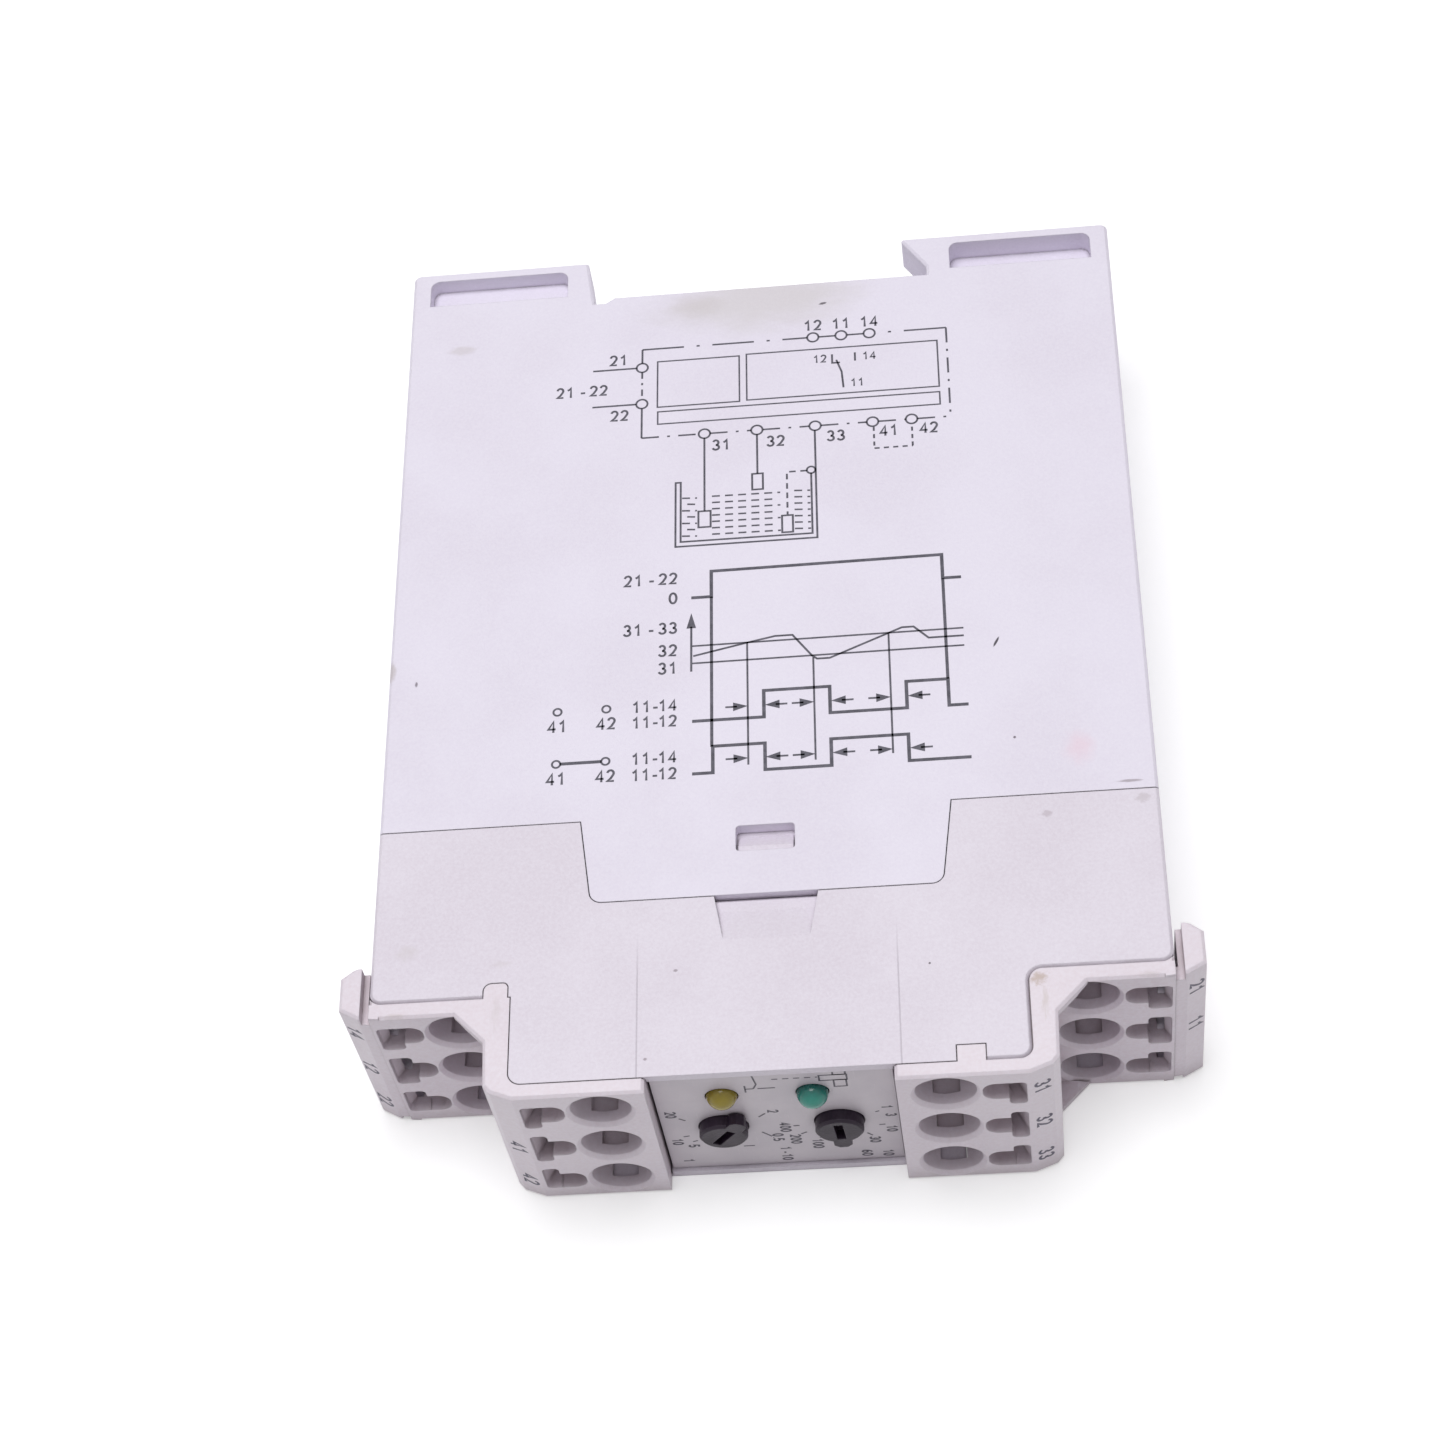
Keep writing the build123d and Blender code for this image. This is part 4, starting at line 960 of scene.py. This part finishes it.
def drawTank(drawing, look):
    thin = look["thin"]
    wall = [
        (5.95, 77.8), (5.95, 63.55), (-9.1, 63.55), (-9.1, 72.0), (-8.55, 72.0), (-8.55, 64.15),
        (5.45, 64.15), (5.45, 72.1),
    ]
    drawLine(drawing, wall, thin)
    for x, endY, size in ((-6.0, 68.0, (1.3, 2.1)), (-0.3, 72.5, (1.15, 2.1))):
        drawLine(drawing, [(x, 77.8), (x, endY)], thin)
        drawBox(drawing, (x - size[0] / 2, endY - size[1]), (x + size[0] / 2, endY), thin)
    drawRing(drawing, (5.45, 72.5), 0.45, thin)
    drawDashes(drawing, (5.0, 72.45), (2.85, 72.45), thin, (0.7, 0.5))
    drawDashes(drawing, (2.85, 72.2), (2.85, 66.8), thin, (0.75, 0.5))
    drawBox(drawing, (2.25, 64.5), (3.4, 66.7), thin)
    rows = np.linspace(69.9, 64.9, 7)
    for number, y in enumerate(rows):
        shift = 0.55 * (number % 2)
        for start, end in ((-8.4 + shift, -6.8), (-5.2, 2.1 - shift), (3.6, 5.3)):
            drawDashes(drawing, (start, y), (end, y - 0.1), look["hair"], (0.85, 0.55))


# A square wave's path, which starts low and changes its level at each place between the ends
def squareWave(low, high, places):
    levels = np.resize((low, high), len(places) - 1)
    return [(x, y) for start, end, y in zip(places, places[1:], levels) for x in (start, end)]


def drawChart(drawing, look):
    thin, medium, thick, hair = look["thin"], look["medium"], look["thick"], look["hair"]
    rises = (-5.3, -1.6, 5.2, 13.0, 18.85)
    supply = [(-7.4, 56.85), (rises[0], 56.85), (rises[0], 60.1), (rises[4], 60.25), (rises[4], 57.25)]
    drawLine(drawing, supply + [(20.75, 57.25)], thick)
    drawLine(drawing, [(-7.4, 47.6), (-7.4, 53.2)], medium)
    drawArrow(drawing, (-7.4, 54.9), (0, 1), 1.9, 0.5)
    for y in (50.75, 48.6):
        drawLine(drawing, [(-7.3, y), (20.7, y + 0.1)], hair)
    level = [
        (-7.2, 49.5), (-1.6, 50.75), (1.3, 51.35), (3.1, 51.35), (5.1, 48.6), (5.6, 48.2), (6.9, 48.2),
        (13.0, 50.8), (14.4, 51.4), (15.6, 51.4), (17.1, 49.9), (20.7, 49.9),
    ]
    drawLine(drawing, level, medium)
    drawLine(drawing, squareWave(41.5, 44.7, (-7.3, 0.05, 6.8, 14.6, rises[4], 20.8)), thick)
    drawLine(drawing, squareWave(35.2, 38.35, (-7.3, rises[0] + 0.1, 0.1, 6.8, 14.6, 20.8)), thick)
    spans = ((56.85, 38.3), (50.7, 35.9), (48.4, 36.0), (50.8, 36.2), (57.2, 44.7))
    for x, (y0, y1) in zip(rises, spans):
        drawLine(drawing, [(x, y0), (x, y1)], look["bold"] if x in (rises[0], rises[4]) else hair)
    for y in (42.95, 36.7):
        for near, far in ((rises[1], 0.15), (rises[2], 6.9), (rises[3], 14.7)):
            drawLine(drawing, [(near - 2.3, y), (near - 1.1, y)], thin)
            drawArrow(drawing, (near, y), (1, 0), 1.5, 0.52)
            drawLine(drawing, [(far + 2.3, y), (far + 1.1, y)], thin)
            drawArrow(drawing, (far, y), (-1, 0), 1.5, 0.52)
    height = look["number"]
    for text, y in (("21 - 22", 59.5), ("0", 56.95), ("31 - 33", 53.2), ("32", 50.4), ("31", 48.2)):
        drawNumber(drawing, text, (-8.9, y), height, align="RIGHT")
    for text, y in (("11-14", 43.65), ("11-12", 41.75), ("11-14", 37.4), ("11-12", 35.45)):
        drawNumber(drawing, text, (-8.9, y), height * 0.96, align="RIGHT")
    for y, joined in ((43.65, False), (37.35, True)):
        for text, x in (("41", -21.2), ("42", -16.15)):
            drawRing(drawing, (x, y), 0.42, thin)
            drawNumber(drawing, text, (x, y - 1.75), height)
        if joined:
            drawLine(drawing, [(-20.8, y), (-16.55, y)], thick)


sideDrawing = newDrawing()
drawPlan(sideDrawing, sidePrintLook)
drawTank(sideDrawing, sidePrintLook)
drawChart(sideDrawing, sidePrintLook)
sideOrigin = (0, frontY, sideZ)
setDrawing("side_print", sideDrawing, sideOrigin, (1, 0, 0), (0, 1, 0), sideInk)
print("side print drawn with", sideDrawing["count"], "points")


# The label's scales: places are millimetres along X and Z on the plate. It reads with +X up
labelLayout = {
    "ticks": [
        ((-9.8, 12.3), (-9.2, 11.8)), ((-9.8, 8.2), (-9.2, 8.35)), ((-9.0, 7.0), (-8.5, 7.2)),
        ((-2.0, 11.8), (-1.3, 12.5)),
        ((-2.0, 8.4), (-1.1, 7.3)), ((-4.1, 5.4), (-3.0, 5.4)), ((1.2, 9.4), (1.8, 9.45)),
        ((1.8, 7.5), (2.4, 7.9)),
        ((9.4, 11.6), (9.8, 11.8)), ((9.6, 8.7), (10.2, 8.75)), ((8.3, 7.0), (8.8, 6.4)),
        ((3.6, 6.4), (3.9, 6.9)),
    ],
    "numbers": [
        ("20", -10.5, 13.2), ("10", -10.5, 7.1), ("5", -9.0, 6.0), ("1", -9.9, 2.7), ("2", -0.5, 12.9),
        ("0.5", -0.5, 7.0),
        ("400", 0.4, 9.2), ("200", 1.2, 6.4), ("100", 3.3, 5.1), ("1", 10.6, 12.6), ("3", 10.9, 10.8),
        ("10", 10.8, 7.7),
        ("30", 9.0, 5.4), ("60", 8.0, 2.4), ("1 - 10", 0.0, 3.2), ("10", 10.1, 2.2),
    ],
    "height": 1.05, "line": 0.18, "boxLine": 0.17,
}


# Contact sign, dashed link and relay coil over the lamps
def drawLabel(drawing, layout):
    line, boxLine = layout["line"], layout["boxLine"]
    for (x0, z0), (x1, z1) in layout["ticks"]:
        drawLine(drawing, [(-z0, x0), (-z1, x1)], line)
    for text, x, z in layout["numbers"]:
        drawNumber(drawing, text, (-z, x), layout["height"], narrow=0.9, weight=0.2)
    contact = [
        (-18.0, -2.7, -18.0, -1.9), (-18.0, -1.5, -18.0, 0.2), (-17.3, -2.7, -18.7, -2.7),
        (-18.9, -1.56, -21.0, -1.84), (-18.0, -1.9, -18.9, -1.56),
    ]
    for x0, y0, x1, y1 in contact:
        drawLine(drawing, [(x0, y0), (x1, y1)], boxLine)
    drawDashes(drawing, (-19.8, 0.0), (-19.8, 4.4), boxLine, (0.6, 0.45))
    for x0, y0, x1, y1 in ((-20.1, 4.55, -19.0, 7.2), (-20.95, 5.9, -20.1, 7.1), (-19.0, 5.9, -17.6, 7.1)):
        drawBox(drawing, (x0, y0), (x1, y1), boxLine)


labelDrawing = newDrawing()
drawLabel(labelDrawing, labelLayout)
setDrawing("label_print", labelDrawing, (0, plateY, 0), (0, 0, -1), (1, 0, 0), labelInk)
print("label print drawn with", labelDrawing["count"], "points")


# Terminal numbers on the sloping faces of the blocks and ears. Each face is a line across the
# module, given by its two ends as (x, y) from the terminal faces
markerLook = {
    "inner": ((24.65, 0.0), (26.85, 0.85)), "ear": ((40.14, 9.57), (42.0, 10.6)), "height": 1.6,
    "levels": (18.6, 11.1, 3.6),
    "numbers": {
        ("left", "inner"): ("", "41", "42"), ("left", "ear"): ("14", "12", "22"),
        ("right", "inner"): ("31", "32", "33"), ("right", "ear"): ("21", "11", ""),
    },
}


def drawMarkers(look):
    for (sideName, row), numbers in look["numbers"].items():
        side = -1 if sideName == "left" else 1
        near, far = (np.array(end) for end in look[row])
        middle = (near + far) / 2
        slope = (far - near) / np.linalg.norm(far - near)
        up = np.array((side * slope[0], slope[1], 0)) * side
        across = np.array((0, 0, -1))
        drawing = newDrawing()
        for text, level in zip(numbers, look["levels"]):
            if text:
                drawNumber(drawing, text, (-level, 0), look["height"], weight=0.18)
        origin = (side * middle[0] * mm, frontY + middle[1] * mm, 0)
        setDrawing(f"marker_{sideName}_{row}", drawing, origin, across, up, markerInk)


drawMarkers(markerLook)
print("terminal numbers drawn")


# Floor and light

stageLook = {
    "reach": 2.5, "level": -0.05, "colour": (240, 240, 241), "lift": 0.34, "fade": (0.25, 0.8),
    "grainScale": 40.0, "grainAmount": 0.02,
}
lightLook = {
    "worldStrength": 0.36,
    "lamps": [
        {"name": "overhead", "place": (-0.05, 0.04, 0.75), "aim": (0, 0, 0), "size": 0.5, "power": 3.55},
    ],
}


def seenDirectly(tree):
    path = addNode(tree, "LightPath").outputs
    share = calc(tree, "ADD", path["Is Camera Ray"], path["Is Glossy Ray"], clamp=True)
    return calc(tree, "ADD", share, path["Is Transmission Ray"], clamp=True)


# Pale floor that keeps the shadow, glows a little where it is seen, and is left out from underneath
def makeFloor(look):
    reach = look["reach"]
    corners = [(-reach, -reach), (reach, -reach), (reach, reach), (-reach, reach)]
    mesh = bpy.data.meshes.new("floor")
    mesh.from_pydata([(x, y, look["level"] * mm) for x, y in corners], [], [(0, 1, 2, 3)])
    material = bpy.data.materials.new("floor")
    material.use_nodes = True
    tree = material.node_tree
    tree.nodes.clear()
    spot = addNode(tree, "TexCoord").outputs["Object"]
    grain = noise(tree, spot, look["grainScale"])
    away = vectorCalc(tree, "LENGTH", spot, output="Value")
    lift = remap(tree, away, *look["fade"], look["lift"], 1.0)  # the floor fades to white with distance
    grainShare = remap(tree, grain, *noiseSpan, 0.0, look["grainAmount"])
    tone = mixColour(tree, grainShare, paint(*look["colour"]), (0.8, 0.8, 0.8, 1))
    matte = addNode(tree, "BsdfDiffuse", {"Color": tone}).outputs[0]
    glow = addNode(tree, "Emission", {"Strength": times(tree, seenDirectly(tree), lift)}).outputs[0]
    seen = addNode(tree, "AddShader", {0: matte, 1: glow}).outputs[0]
    under = addNode(tree, "NewGeometry").outputs["Backfacing"]
    clear = addNode(tree, "BsdfTransparent").outputs[0]
    surface = addNode(tree, "MixShader", {0: under, 1: seen, 2: clear}).outputs[0]
    tree.links.new(surface, addNode(tree, "OutputMaterial").inputs["Surface"])
    linkMesh("floor", mesh, material)


def makeWorld(strength):
    world = bpy.data.worlds.new("studio")
    world.use_nodes = True
    tree = world.node_tree
    back = tree.nodes["Background"]
    back.inputs["Color"].default_value = (1, 1, 1, 1)
    tree.links.new(remap(tree, seenDirectly(tree), 0.0, 1.0, strength, 1.0), back.inputs["Strength"])
    bpy.context.scene.world = world


def makeLamp(look):
    light = bpy.data.lights.new(look["name"], "AREA")
    light.shape = "DISK"
    light.size = look["size"]
    light.energy = look["power"]
    holder = bpy.data.objects.new(look["name"], light)
    holder.location = look["place"]
    holder.rotation_mode = "QUATERNION"
    holder.rotation_quaternion = (Vector(look["aim"]) - Vector(look["place"])).to_track_quat("-Z", "Y")
    bpy.context.scene.collection.objects.link(holder)


makeFloor(stageLook)
makeWorld(lightLook["worldStrength"])
for lamp in lightLook["lamps"]:
    makeLamp(lamp)
print("floor and light set")
